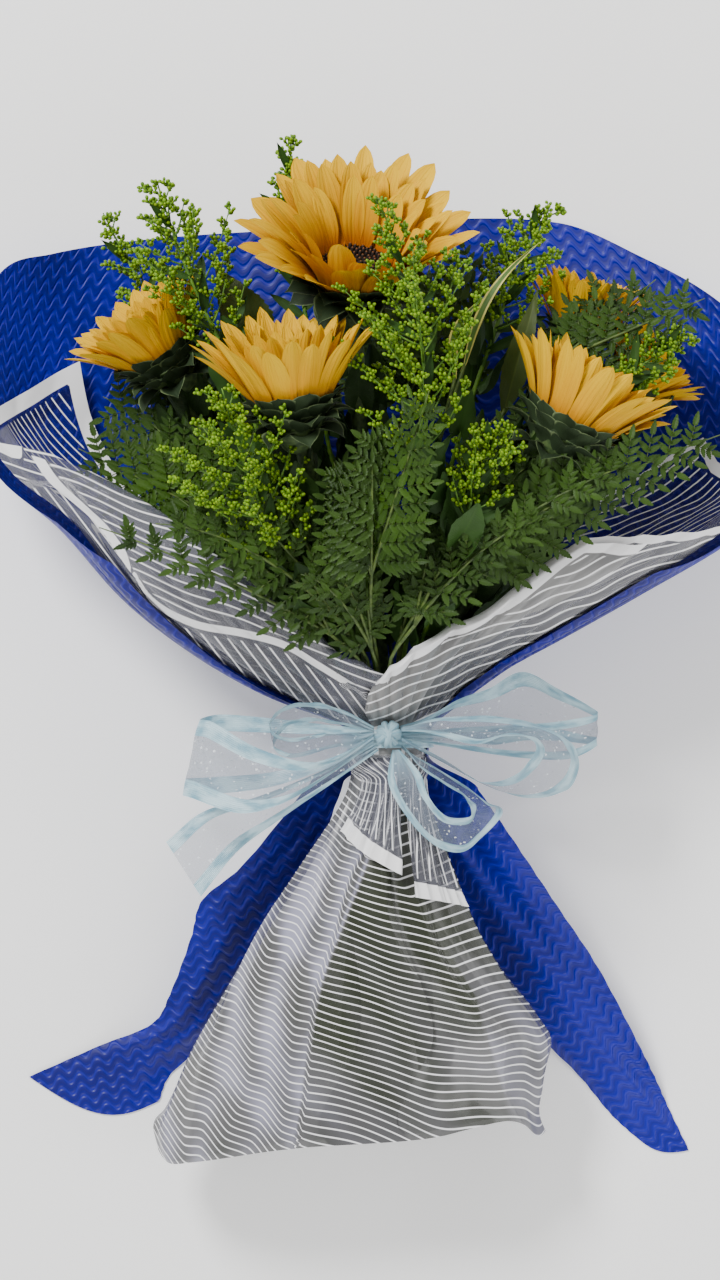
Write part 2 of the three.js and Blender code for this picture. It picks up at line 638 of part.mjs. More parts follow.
function goldenrod(spray, seed) {
  const { base, tip, spread, twigs, stem } = spray;
  const along = tip.clone().sub(base);
  const height = along.length();
  along.normalize();
  const across = vec(0, 0, 1).cross(along).normalize();
  const other = along.clone().cross(across);
  const bow = (t) => base.clone().lerp(tip, t).addScaledVector(across, Math.sin(t * 3) * height * 0.03);
  const line = [...stem.line.slice(0, -1), base, bow(0.5), bow(0.9), bow(0.94), bow(1)];
  const radii = [...stem.line.slice(0, -1).map(() => stem.radius), stem.radius, 1.3, 0.8, BUD_RADIUS, 0];
  const branches = Array.from({ length: twigs }, (_, i) => {
    const t = 0.08 + (0.86 * i) / twigs;
    const chance = (k) => jitter(seed + i * 5 + k);
    const around = i * 2.4 + chance(0);
    const out = across.clone().multiplyScalar(Math.cos(around));
    out.addScaledVector(other, Math.sin(around) * 0.8);
    const fullness = 0.3 + 0.75 * Math.sin(Math.PI * Math.min(t + 0.18, 1));
    const reach = spread * fullness * (0.7 + 0.4 * chance(1));
    const start = bow(t);
    const end = start.clone().addScaledVector(out, reach).addScaledVector(along, reach * 0.75);
    const beads = reach > 20 ? 3 : 2;
    const string = [start];
    const sizes = [0];
    for (let k = 0; k < beads * 2 - 1; k += 1) {
      const share = mix(0.45, 0.96, k / (beads * 2 - 2));
      const zigzag = k % 2 ? 0 : (k % 4 ? 1.6 : -1.6);
      string.push(start.clone().lerp(end, share).addScaledVector(along, zigzag));
      sizes.push(k % 2 ? 0.8 : BUD_RADIUS * (0.85 + 0.3 * chance(k + 2)));
    }
    return stalk([...string, end.clone().addScaledVector(along, 2.5)], [...sizes, 0], 3);
  });
  return joined(stalk(line, radii, 3), branches);
}

// --- Fern ---

const FRONDS = [
  { name: "fern_left", base: [-60, 110, 112], tip: [-186, 172, 128],
    arch: 14, width: 44, pairs: 6, roll: 10 },
  { name: "fern_left_low", base: [-34, 60, 160], tip: [-172, 112, 188],
    arch: 22, width: 40, pairs: 6, roll: -20 },
  { name: "fern_left_front", base: [-34, 74, 168], tip: [-138, 92, 212],
    arch: 16, width: 30, pairs: 5, roll: 20 },
  { name: "fern_middle", base: [-10, 96, 190], tip: [24, 204, 246],
    arch: 8, width: 46, pairs: 7, roll: -35 },
  { name: "fern_right", base: [40, 106, 178], tip: [200, 168, 186],
    arch: 20, width: 42, pairs: 8, roll: 12 },
  { name: "fern_right_low", base: [22, 82, 172], tip: [152, 132, 198],
    arch: 22, width: 40, pairs: 6, roll: -12 },
  { name: "fern_right_front", base: [16, 66, 176], tip: [98, 92, 214],
    arch: 12, width: 34, pairs: 5, roll: 10 },
  { name: "fern_bottom", base: [-10, 52, 150], tip: [-52, 70, 206],
    arch: 14, width: 34, pairs: 4, roll: 0 },
  { name: "fern_far_right", base: [103, 225, 131], tip: [190, 262, 130],
    arch: 8, width: 26, pairs: 5, roll: 0 },
  { name: "fern_far_left", base: [-76, 150, 92], tip: [-172, 204, 84],
    arch: 8, width: 40, pairs: 5, roll: 0 },
  { name: "fern_back", base: [10, 200, 66], tip: [60, 296, 58],
    arch: 8, width: 44, pairs: 6, roll: 0 },
];
const FERN_RADIUS = 1.1;

for (const frond of FRONDS) {
  frond.base = vec(...frond.base);
  frond.tip = vec(...frond.tip);
  frond.stem = {
    radius: FERN_RADIUS,
    foot: -36,
    top: frond.base,
    aim: frond.tip.clone().sub(frond.base).normalize(),
  };
}

function fern(frond, seed) {
  const { base, tip, arch, width, pairs, roll, stem } = frond;
  const chord = tip.clone().sub(base);
  const forward = chord.clone().normalize();
  const side = forward.clone().cross(vec(0, 0, 1)).normalize();
  const up = side.clone().cross(forward).applyAxisAngle(forward, radians(roll));
  side.applyAxisAngle(forward, radians(roll));
  const rib = (t) => base.clone().addScaledVector(chord, t).add(vec(0, 0, arch * 4 * t * (1 - t)));
  const line = [...stem.line.slice(0, -1), base, rib(0.33), rib(0.66), rib(1)];
  const radii = [...stem.line.slice(0, -1).map(() => stem.radius), 1.2, 1.1, 0.9, 0];
  const leaflets = Array.from({ length: pairs }, (_, i) => [-1, 1].map((hand) => {
    const t = 0.06 + (0.88 * (i + (hand > 0 ? 0.25 : 0))) / pairs;
    const length = width * (0.16 + 0.84 * (1 - t) ** 0.8) * (0.88 + 0.2 * jitter(seed + i * 2 + hand));
    const way = side.clone().multiplyScalar(hand).addScaledVector(forward, 0.5 + t * 0.4).normalize();
    const at = (share, drop) => rib(t).addScaledVector(way.clone().multiplyScalar(share)
      .addScaledVector(up, -drop), length);
    const half = Math.min(length * 0.17, 6) + 0.6;
    return blade([at(0, 0.02), at(0.42, 0), at(1, 0.1)], [0, half, 0], RIDGE, up);
  })).flat();
  return joined(stalk(line, radii, 3), leaflets);
}

// --- Long striped blades and broad leaves ---

const LEAVES = [
  { name: "striped_blade_right", base: [46, 222, 152], tip: [92, 296, 150], arch: 10, half: 4.5 },
  { name: "striped_blade_middle", base: [40, 214, 160], tip: [58, 262, 178], arch: 8, half: 4 },
  { name: "leaf_left", base: [-74, 232, 96], tip: [-104, 282, 104], arch: 6, half: 15 },
  { name: "leaf_right", base: [70, 196, 132], tip: [90, 268, 140], arch: 6, half: 11 },
];
for (const leaf of LEAVES) {
  leaf.base = vec(...leaf.base);
  leaf.tip = vec(...leaf.tip);
  leaf.stem = {
    radius: FERN_RADIUS,
    foot: -36,
    top: leaf.base,
    aim: leaf.tip.clone().sub(leaf.base).normalize(),
  };
}

function leaf({ base, tip, arch, half, stem }) {
  const at = (t) => base.clone().lerp(tip, t).add(vec(0, 0, arch * 4 * t * (1 - t)));
  const face = vec(0, 0, 1);
  const radii = stem.line.map(() => stem.radius);
  const steps = [-0.06, 0.12, 0.3, 0.5, 0.72, 1];
  const shape = [0.12, 0.7, 1, 0.9, 0.55, 0];
  const body = blade(steps.map(at), shape.map((share) => share * half), RIDGE, face);
  return wasm.Manifold.union([stalk(stem.line, radii, 3), body]);
}

const stems = [...SUNFLOWERS, ...SPRAYS, ...FRONDS, ...LEAVES].map((piece) => piece.stem);
bedStems(stems);

// --- The tie ---

const TIE_OUTSIDE = 20.6;

function tie() {
  const bundle = Math.max(...[-8, 8].flatMap((y) => stems.map(({ levels, places, radius }) => {
    const [x, z] = places[levels.indexOf(y)];
    return Math.hypot(x, z - NECK_HEIGHT) + radius;
  })));
  const half = TIE_WIDTH / 2;
  const section = [[bundle + GAP, -half], [TIE_OUTSIDE, -half], [TIE_OUTSIDE, half], [bundle + GAP, half],
    [bundle + GAP, -half]];
  const ring = new THREE.LatheGeometry(section.map(([out, y]) => new THREE.Vector2(out, y)), 18);
  return solidOf(ring.translate(0, 0, NECK_HEIGHT));
}

// --- The ribbon ---

const BAND = { radius: 27.6, from: -8, to: 3 };
const LOOPS = {
  ribbon_loop_left: {
    upper: [[-8.5, 4, 110], [-28, 5, 103], [-46, 7, 98], [-72, 10, 94], [-104, 12, 98], [-113, 9, 110],
      [-106, 8, 122], [-80, -7, 134], [-51, -16, 136], [-33, -15, 130], [-9, 0, 117]],
    lower: [[-8.5, -3, 108], [-28, -16, 98], [-46, -24, 93], [-72, -32, 90], [-106, -36, 94],
      [-124, -36, 108], [-118, -38, 122], [-88, -47, 132], [-66, -42, 134], [-38, -26, 126], [-9, -6, 115]],
  },
  ribbon_tail_left: {
    upper: [[-9, -5.5, 106], [-40, -22, 92], [-80, -38, 82], [-112, -47, 80], [-134, -65, 82]],
    lower: [[-5.5, -9.5, 107], [-33, -29, 92], [-66, -52, 82], [-90, -70, 78], [-113, -98, 80]],
  },
  ribbon_loop_right_upper: {
    upper: [[7.2, 5.2, 108], [22, 10, 115], [40, 20, 117], [62, 28, 112], [81, 38, 104], [102, 28, 96],
      [122, 17, 92], [126, 13, 96], [110, 9, 102], [80, 6, 104], [40, 4, 107], [8.9, 1, 109]],
    lower: [[7.2, 1, 105.4], [22, 0, 98], [40, -2, 94], [62, -6, 89], [84, -4, 85], [104, -4, 85],
      [122, -6, 88], [127, -6, 92], [112, -14, 97], [80, -14, 99], [40, -8, 102], [9, -3, 106.5]],
  },
  ribbon_loop_right_front: {
    upper: [[8.2, 3.6, 112], [26, 9, 114], [44, 11, 114], [68, 11, 112], [92, 6, 109], [110, -5, 107],
      [115, -17, 106], [109, -32, 106], [96, -38, 106], [72, -36, 107], [40, -20, 109], [9, -4, 110]],
    lower: [[8.2, 2, 116.4], [20, 2, 124], [32, -1, 131], [54, -6, 138], [70, -1, 142], [84, -1, 145],
      [89, -8, 146], [82, -18, 146], [68, -27, 144], [54, -27, 139], [32, -14, 129], [8.6, -2, 114.6]],
  },
  ribbon_loop_right_low: {
    upper: [[2.6, -9.3, 109], [0, -28, 112], [12, -50, 119], [28, -66, 121], [44, -71, 121],
      [56, -62, 120], [69, -47, 116], [62, -41, 100], [42, -28, 97], [20, -15, 99], [8, -8, 103]],
    lower: [[7, -9, 113], [20, -24, 120], [24, -36, 126], [35, -49, 131], [48, -49, 131],
      [50, -46, 128], [49, -42, 120], [46, -38, 108], [34, -30, 103], [18, -18, 104], [8.3, -5.6, 105.5]],
  },
};

function ribbonLoop({ upper, lower }) {
  const rows = 14;
  const [from, to] = [edgeCurve(upper), edgeCurve(lower)];
  const grid = Array.from({ length: rows }, (_, row) => {
    const t = row / (rows - 1);
    return [0, 0.5, 1].map((w) => from.getPoint(t).lerp(to.getPoint(t), w));
  });
  return film(grid, RIBBON);
}

function band() {
  const { radius, from, to } = BAND;
  const [inner, outer] = [radius - RIBBON / 2, radius + RIBBON / 2];
  const section = [[inner, from], [outer, from], [outer, to], [inner, to], [inner, from]];
  const ring = new THREE.LatheGeometry(section.map(([out, y]) => new THREE.Vector2(out, y)), 24);
  return solidOf(ring.translate(0, 0, NECK_HEIGHT));
}

function knot() {
  const ball = new THREE.SphereGeometry(1, 10, 6).scale(8.2, 8.6, 7.4);
  return solidOf(ball.translate(0, 0, NECK_HEIGHT + BAND.radius + 8.2));
}

// --- Build ---

addPiece("blue_film_left", blueFilm("left"), BLUE);
addPiece("blue_film_right", blueFilm("right"), BLUE);
addPiece("clear_film_left", clearFilm("left"), STRIPED);
addPiece("clear_film_right", clearFilm("right"), STRIPED);
addPiece("clear_film_skirt", skirt(), STRIPED);
addPiece("tie", tie(), TIE);
addPiece("ribbon_band", band(), SATIN);
addPiece("ribbon_knot", knot(), SATIN);
for (const [name, edges] of Object.entries(LOOPS)) addPiece(name, ribbonLoop(edges), SATIN);
SUNFLOWERS.forEach((flower, i) => {
  addPiece(`${flower.name}_petals`, petals(flower, i * 100), PETAL);
  addPiece(`${flower.name}_disc`, florets(flower), DISC);
});
SUNFLOWERS.forEach((flower, i) => addPiece(`${flower.name}_stem`, calyx(flower, i * 100), CALYX));
SPRAYS.forEach((spray, i) => addPiece(spray.name, goldenrod(spray, i * 100), BUD));
LEAVES.forEach((piece) => addPiece(piece.name, leaf(piece), BLADE));
FRONDS.forEach((frond, i) => addPiece(frond.name, fern(frond, i * 100), FERN));

const box = new THREE.Box3().setFromObject(group);
const middle = box.getCenter(vec(0, 0, 0));
group.position.set(-middle.x, -middle.y, -box.min.z);
group.updateMatrixWorld(true);

export default group;
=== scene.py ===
"""A hand-tied bunch of sunflowers, wrapped in embossed blue film and striped clear film.

The bunch lies on its back, with the flower heads towards +Y. Lengths in this file are millimetres
from the ribbon's knot, and make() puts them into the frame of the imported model, in metres.
"""

import math

import bpy
import numpy as np
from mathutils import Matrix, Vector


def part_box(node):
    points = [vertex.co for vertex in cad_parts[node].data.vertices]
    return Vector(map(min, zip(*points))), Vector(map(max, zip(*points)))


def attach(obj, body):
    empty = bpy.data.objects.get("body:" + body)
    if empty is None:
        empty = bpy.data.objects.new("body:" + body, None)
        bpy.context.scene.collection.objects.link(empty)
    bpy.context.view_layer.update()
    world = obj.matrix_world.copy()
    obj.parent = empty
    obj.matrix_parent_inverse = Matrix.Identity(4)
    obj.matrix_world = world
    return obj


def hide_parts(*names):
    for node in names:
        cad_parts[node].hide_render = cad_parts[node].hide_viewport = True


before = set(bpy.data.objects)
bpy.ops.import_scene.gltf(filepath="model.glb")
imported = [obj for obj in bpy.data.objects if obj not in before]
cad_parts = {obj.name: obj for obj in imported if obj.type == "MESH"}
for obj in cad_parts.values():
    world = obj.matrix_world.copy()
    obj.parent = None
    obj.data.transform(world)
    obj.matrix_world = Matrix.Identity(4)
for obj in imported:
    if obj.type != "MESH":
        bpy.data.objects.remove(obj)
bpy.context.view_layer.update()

NECK_HEIGHT = 75  # of the bundle's axis above the floor, at the knot
FLARE_HEIGHT = 100  # of the same axis, among the flowers
KNOT_RISE = 35.8  # from the bundle's axis to the middle of the knot
HAND = {"left": -1, "right": 1}  # the way along X
GOLDEN_TURN = 2.4  # radians from one leaf, twig or bud to the next round its stem

low_corner, high_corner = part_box("ribbon_knot")
knot_middle = (np.array(low_corner) + np.array(high_corner)) * 500
# From the places in this file to the places in the frame, both in millimetres.
SHIFT = knot_middle - np.array([0, 0, NECK_HEIGHT + KNOT_RISE])


# --- Numbers and curves ---


def mix(a, b, t):
    return a + (b - a) * t


def smooth(t):
    t = np.clip(t, 0, 1)
    return t * t * (3 - 2 * t)


def chance(n):
    """A repeatable scatter between 0 and 1 for each number."""
    wave = np.sin(n * 12.9898) * 43758.5453
    return wave - np.floor(wave)


def stack(x, y, z):
    """One grid of points or places from its three numbers."""
    return np.stack(np.broadcast_arrays(x, y, z), -1)


def unit(v):
    v = np.asarray(v, float)
    return v / np.maximum(np.linalg.norm(v, axis=-1, keepdims=True), 1e-9)


def through(points):
    """A smooth curve through points given as (where, value), read at any number of places."""
    xs, ys = np.array(points, float).T
    low = np.maximum(np.arange(len(xs)) - 1, 0)
    high = np.minimum(np.arange(len(xs)) + 1, len(xs) - 1)
    slopes = (ys[high] - ys[low]) / (xs[high] - xs[low])

    def read(where):
        where = np.clip(where, xs[0], xs[-1])
        i = np.clip(np.searchsorted(xs, where, side="right") - 1, 0, len(xs) - 2)
        width = xs[i + 1] - xs[i]
        t = (where - xs[i]) / width
        rise = ys[i + 1] - ys[i]
        start = slopes[i] * width - rise
        end = slopes[i + 1] * width - rise
        return ys[i] + rise * t + start * t * (1 - t) ** 2 - end * t * t * (1 - t)

    return read


def edge_curve(points, shares):
    """Points along a rounded line, at shares of its number of spans."""
    points = np.array(points, float)
    spans = len(points) - 1
    where = np.clip(np.asarray(shares, float) * spans, 0, spans - 1e-9)
    i = where.astype(int)
    t = (where - i)[:, None]
    first = 2 * points[0] - points[1]
    last = 2 * points[-1] - points[-2]
    padded = np.vstack([first, points, last])
    p0, p1, p2, p3 = (padded[i + k] for k in range(4))
    d0, d1, d2 = (np.maximum(np.linalg.norm(b - a, axis=1, keepdims=True) ** 0.5, 1e-4)
                  for a, b in ((p0, p1), (p1, p2), (p2, p3)))
    m1 = ((p1 - p0) / d0 - (p2 - p0) / (d0 + d1) + (p2 - p1) / d1) * d1
    m2 = ((p2 - p1) / d1 - (p3 - p1) / (d1 + d2) + (p3 - p2) / d2) * d1
    return (p1 + m1 * t + (3 * (p2 - p1) - 2 * m1 - m2) * t ** 2
            + (2 * (p1 - p2) + m1 + m2) * t ** 3)


def crumple(a, b, seed):
    """Soft uneven waves over two coordinates, about -1 to 1."""
    total = 0
    for k in range(1, 5):
        p, q, r = (chance(seed * 7.3 + k * 3.1 + j) for j in range(3))
        total = total + np.sin(a * k * (0.7 + 0.6 * p) + b * k * (0.5 + q) + r * 6.3) / k
    return total / 1.6


def crease(x):
    """A row of sharp folds, one for each unit of x, from -1 to 1."""
    return 1 - 2 * np.abs(np.sin(math.pi * x)) ** 0.7


# --- Pieces ---


def in_scene(name, data):
    thing = bpy.data.objects.new(name, data)
    bpy.context.scene.collection.objects.link(thing)
    return thing


class Piece:
    """The points and faces of one piece. Each point has a place, three numbers for its finish."""

    def __init__(self):
        self.points = []
        self.faces = []
        self.places = []
        self.coats = []
        self.count = 0

    def add(self, points, faces, places, coat=0):
        points = np.asarray(points, float).reshape(-1, 3)
        self.points.append(points)
        self.places.append(np.broadcast_to(np.asarray(places, float), points.shape))
        self.faces.append(faces + self.count)
        self.coats.append(np.full(len(faces), coat))
        self.count += len(points)

    def sheet(self, grid, places, coat=0, ring=False):
        """A surface over rows and columns of points. In a ring the last column meets the first."""
        rows, columns = grid.shape[:2]
        row, column = np.meshgrid(np.arange(rows - 1), np.arange(columns if ring else columns - 1),
                                  indexing="ij")
        beside = (column + 1) % columns
        corners = [row * columns + column, row * columns + beside,
                   (row + 1) * columns + beside, (row + 1) * columns + column]
        places = np.asarray(places, float).reshape(-1, 3)
        self.add(grid, np.stack(corners, -1).reshape(-1, 4), places, coat)

    def tube(self, line, radii, sides, coat=0, place=0.0):
        """A round stalk along a line of points, closed at both ends."""
        line = np.asarray(line, float)
        along = unit(np.gradient(line, axis=0))
        across = np.array([0, 0, 1.0]) if abs(along[0][2]) < 0.8 else np.array([1.0, 0, 0])
        angle = np.arange(sides) / sides * 2 * math.pi
        rings = []
        for point, way, radius in zip(line, along, np.broadcast_to(radii, len(line))):
            across = unit(across - way * (across @ way))
            other = np.cross(way, across)
            out = np.cos(angle)[:, None] * across + np.sin(angle)[:, None] * other
            rings.append(point + radius * out)
        shares = np.linspace(0, 1, len(line))[:, None]
        self.sheet(np.array(rings), stack(shares, angle / (2 * math.pi), place), coat, ring=True)
        cap = np.arange(sides)
        top = self.count - sides
        bottom = self.count - len(line) * sides
        self.faces += [(cap + top)[None], (cap[::-1] + bottom)[None]]
        self.coats += [np.full(1, coat)] * 2

    def copies(self, form, origin, along, across, up, coat=0, tints=0.0):
        """Many copies of one small form, each with its own place and three directions."""
        shape, faces, places = form
        origin, along, across, up = (np.atleast_2d(v)[:, None, :] for v in (origin, along, across, up))
        points = (origin + shape[None, :, 0:1] * along + shape[None, :, 1:2] * across
                  + shape[None, :, 2:3] * up)
        number = len(points)
        offsets = np.arange(number)[:, None, None] * len(shape)
        marks = np.broadcast_to(places, (number, len(shape), 3)).copy()
        marks[..., 2] = np.broadcast_to(tints, number)[:, None]
        self.add(points, (faces[None] + offsets).reshape(-1, faces.shape[1]), marks.reshape(-1, 3), coat)

    def make(self, name, coats, node):
        """The finished object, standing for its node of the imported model."""
        mesh = bpy.data.meshes.new(name)
        points = (np.vstack(self.points) + SHIFT) / 1000
        faces = [face for block in self.faces for face in block.tolist()]
        mesh.from_pydata(points.tolist(), [], faces)
        place = mesh.attributes.new("place", "FLOAT_VECTOR", "POINT")
        place.data.foreach_set("vector", np.vstack(self.places).astype(np.float32).ravel())
        for coat in coats:
            mesh.materials.append(coat)
        mesh.polygons.foreach_set("material_index", np.concatenate(self.coats).astype(np.int32))
        mesh.polygons.foreach_set("use_smooth", np.ones(len(faces), bool))
        mesh.update()
        thing = in_scene(name, mesh)
        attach(thing, "root")
        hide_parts(node)
        return thing


def grid_form(rows, columns, point):
    """A small form over a grid: point(t, s) gives its shape, for t from 0 to 1 and s from -1 to 1."""
    shares = [(t, s) for t in np.linspace(0, 1, rows) for s in np.linspace(-1, 1, columns)]
    shape = np.array([point(t, s) for t, s in shares], float)
    faces = [[r * columns + c, r * columns + c + 1, (r + 1) * columns + c + 1, (r + 1) * columns + c]
             for r in range(rows - 1) for c in range(columns - 1)]
    return shape, np.array(faces), np.array([(t, s, 0) for t, s in shares])


def round_form(profile, sides):
    """A small turned form: profile gives (along, radius) from its root to its tip."""
    last = len(profile) - 1
    shape, places = [], []
    for row, (along, radius) in enumerate(profile):
        for side in range(sides):
            angle = side / sides * 2 * math.pi
            shape.append((along, radius * math.cos(angle), radius * math.sin(angle)))
            places.append((row / last, side / sides, 0))
    faces = [[r * sides + c, r * sides + (c + 1) % sides, (r + 1) * sides + (c + 1) % sides,
              (r + 1) * sides + c] for r in range(last) for c in range(sides)]
    return np.array(shape), np.array(faces), np.array(places)


# --- Finishes ---


class Signal:
    """A node's output, which adds its Math nodes when it is used in a sum."""

    def __init__(self, finish, socket):
        self.finish = finish
        self.socket = socket

    def math(self, operation, *others):
        return self.finish.node("Math", {"operation": operation}, [self, *others])

    def __add__(self, other):
        return self.math("ADD", other)

    __radd__ = __add__

    def __sub__(self, other):
        return self.math("SUBTRACT", other)

    def __rsub__(self, other):
        return self.finish.node("Math", {"operation": "SUBTRACT"}, [other, self])

    def __mul__(self, other):
        return self.math("MULTIPLY", other)

    __rmul__ = __mul__

    def __truediv__(self, other):
        return self.math("DIVIDE", other)

    def __abs__(self):
        return self.math("ABSOLUTE")

    def sine(self):
        return self.math("SINE")

    def fraction(self):
        return self.math("FRACT")

    def clamp(self):
        return self.math("MAXIMUM", 0).math("MINIMUM", 1)

    def ramp(self, low, high):
        """0 below low, 1 above high, and smooth in between."""
        settings = {"interpolation_type": "SMOOTHSTEP"}
        return self.finish.node("MapRange", settings, {"Value": self, "From Min": low, "From Max": high})


class Finish:
    """One material: its shader, and the nodes that vary it over the surface."""

    def __init__(self, name, **settings):
        self.material = bpy.data.materials.new(name)
        self.material.use_nodes = True
        self.tree = self.material.node_tree
        self.shader = self.tree.nodes["Principled BSDF"]
        for socket, value in settings.items():
            self.shader.inputs[socket.replace("_", " ")].default_value = value
        place = self.tree.nodes.new("ShaderNodeAttribute")
        place.attribute_name = "place"
        self.place = Signal(self, place.outputs["Vector"])
        split = self.tree.nodes.new("ShaderNodeSeparateXYZ")
        self.tree.links.new(place.outputs["Vector"], split.inputs[0])
        self.along, self.across, self.third = (Signal(self, split.outputs[k]) for k in range(3))

    def node(self, kind, settings, values, output=0):
        made = self.tree.nodes.new("ShaderNode" + kind)
        for setting, value in settings.items():
            setattr(made, setting, value)
        for key, value in values.items() if isinstance(values, dict) else enumerate(values):
            if isinstance(value, Signal):
                self.tree.links.new(value.socket, made.inputs[key])
            else:
                made.inputs[key].default_value = value
        return Signal(self, made.outputs[output])

    def join(self, x, y, z=0.0):
        return self.node("CombineXYZ", {}, [x, y, z])

    def noise(self, where, scale, detail=3.0, kind="FBM"):
        settings = {"noise_type": kind}
        return self.node("TexNoise", settings, {"Vector": where, "Scale": scale, "Detail": detail})

    def body(self):
        """Where the point is on the bunch, in metres."""
        return self.node("TexCoord", {}, {}, "Object")

    def colour(self, a, b, factor):
        """From one colour to another. A colour is a Signal or three numbers."""
        a, b = (c if isinstance(c, Signal) else (*c, 1) for c in (a, b))
        return self.node("Mix", {"data_type": "RGBA"}, {0: factor, 6: a, 7: b}, 2)

    def set(self, socket, signal):
        self.tree.links.new(signal.socket, self.shader.inputs[socket])

    def relief(self, height, distance, strength=1.0):
        """Bumps of that height in metres where the signal is 1."""
        self.set("Normal", self.node("Bump", {}, {"Strength": strength, "Distance": distance,
                                                  "Height": height}))


def petal_finish():
    f = Finish("sunflower_petal", Roughness=0.6, Specular_IOR_Level=0.15)
    streak = f.noise(f.join(f.along * 2.0, f.across * 9.0, f.third * 40.0), 1.0)
    warm = f.colour((0.4, 0.11, 0.0), (0.62, 0.3, 0.0), f.along.ramp(0.0, 0.45))
    bright = f.colour(warm, (0.76, 0.46, 0.0), (f.along + f.third * 0.35).ramp(0.4, 1.2))
    f.set("Base Color", f.colour(bright, (0.54, 0.22, 0.0), streak.ramp(0.45, 0.75) * 0.5))
    grooves = (f.across * 15.0).sine() * 0.2 + streak * 0.9
    f.relief(grooves, 0.0007, 0.7)
    return f.material


def floret_finish():
    f = Finish("disc_florets", Roughness=0.75)
    tips = f.colour((0.012, 0.005, 0.003), (0.2, 0.07, 0.012), f.along.ramp(0.6, 1.0))
    f.set("Base Color", f.colour(tips, (0.03, 0.028, 0.008), f.third.ramp(0.35, 0.9)))
    return f.material


def green_finish(name, deep, pale, edge=None, rough=0.6, rib=0.12):
    """Leaves and bracts: mottled, with a lighter rib, and a paler edge where one is given."""
    f = Finish(name, Roughness=rough, Specular_IOR_Level=0.3)
    mottle = f.noise(f.body(), 90.0, 4.0)
    leaf = f.colour(deep, pale, (mottle * 0.6 + f.third * 0.6 - 0.1).clamp())
    away = abs(f.across)
    leaf = f.colour(leaf, pale, (1 - away.ramp(0.0, rib)) * 0.6)
    if edge:
        leaf = f.colour(leaf, edge, away.ramp(0.8, 1.0))
    f.set("Base Color", leaf)
    veins = ((f.along * 26.0 - away * 7.0).fraction() - 0.5) * 0.5
    f.relief(abs(veins) + mottle * 0.5, 0.0006, 0.6)
    return f.material


def bud_finish():
    f = Finish("goldenrod_buds", Roughness=0.5, Specular_IOR_Level=0.3)
    base = f.colour((0.05, 0.13, 0.0), (0.15, 0.29, 0.0), (f.along + f.third * 0.5 - 0.2).clamp())
    f.set("Base Color", f.colour(base, (0.3, 0.42, 0.01), f.along.ramp(0.75, 1.0)))
    return f.material


def twig_finish(name, dark, light):
    f = Finish(name, Roughness=0.6)
    grain = f.noise(f.body(), 260.0, 3.0)
    f.set("Base Color", f.colour(dark, light, grain.ramp(0.3, 0.7)))
    f.relief(grain, 0.0004, 0.7)
    return f.material


def striped_blade_finish():
    f = Finish("striped_blade", Roughness=0.42)
    green = f.colour((0.05, 0.12, 0.02), (0.12, 0.24, 0.04), f.noise(f.place, 6.0))
    f.set("Base Color", f.colour(green, (0.72, 0.66, 0.16), abs(f.across).ramp(0.5, 0.66)))
    f.relief((f.across * 30.0).sine() * 0.5, 0.0003, 0.5)
    return f.material


def blue_finish():
    """Rows of stepped waves pressed into the film; painted highlights on the ridges, painted shade
    between.
    """
    f = Finish("blue_film", Roughness=0.36, Specular_IOR_Level=0.35)
    wander = f.noise(f.body(), 14.0, 2.0) * 3.0
    wave = (f.along * (2 * math.pi / 12.4) + wander * 0.4).sine()
    rows = (f.across + wave * 1.9 + (wave * 2.2).math("TANH") * 0.5 + wander) / 7.0
    away = abs(rows.fraction() - 0.5) * 2
    rib = 1 - away.ramp(0.12, 0.5)
    fine = f.noise(f.body(), 420.0, 2.0)
    shade = f.noise(f.body(), 9.0, 3.0)
    film = f.colour((0.0, 0.0, 0.15), (0.0, 0.0, 0.3), shade.ramp(0.3, 0.7))
    # Painted shade: darker blue between the ridges.
    film = f.colour(film, (0.0, 0.0, 0.07), away.ramp(0.5, 1.0) * 0.35)
    # Painted highlight: lighter blue along each ridge.
    f.set("Base Color", f.colour(film, (0.01, 0.01, 0.38), rib * 0.45))
    f.set("Roughness", 0.36 + fine * 0.16)
    f.relief(rib - away * 0.3 + fine * 0.06, 0.0007, 0.62)
    return f.material


def printed_line(f, pitch, width):
    """1 on the printed lines, which lie a pitch apart along the second place."""
    away = abs((f.across / pitch).fraction() - 0.5) * 2
    return 1 - away.ramp(width, width + 0.09)


def collar_finish():
    """Clear film with white lines and a white border, misty by the first place: partly the milkiness
    of doubled film, and partly a painted reflection that lightens it.
    """
    f = Finish("striped_clear_film", Roughness=0.2, Specular_IOR_Level=0.5)
    border = 1 - f.third.ramp(9.4, 9.9)
    white = (printed_line(f, 5.6, 0.13) * f.third.ramp(11.5, 12.5) + border).clamp()
    folds = f.noise(f.body(), 22.0, 4.0, "RIDGED_MULTIFRACTAL")
    clouds = f.noise(f.body(), 12.0, 3.0).ramp(0.35, 0.7)
    # Painted reflection: the clear film is a lighter grey where the first place is high, partly for
    # doubled film.
    clear = f.colour((0.03, 0.035, 0.12), (0.28, 0.28, 0.27), f.along.ramp(0.2, 0.95))
    clear = f.colour(clear, (0.08, 0.08, 0.085), clouds * f.along)
    f.set("Base Color", f.colour(clear, (0.9, 0.9, 0.91), white))
    haze = f.along * 0.8 + 0.1 + folds.ramp(0.7, 1.3) * 0.1
    f.set("Alpha", (white * (0.96 - haze) + haze).clamp())
    f.set("Roughness", 0.2 + white * 0.25)
    f.relief(folds + clouds, 0.0022, 0.7)
    return f.material


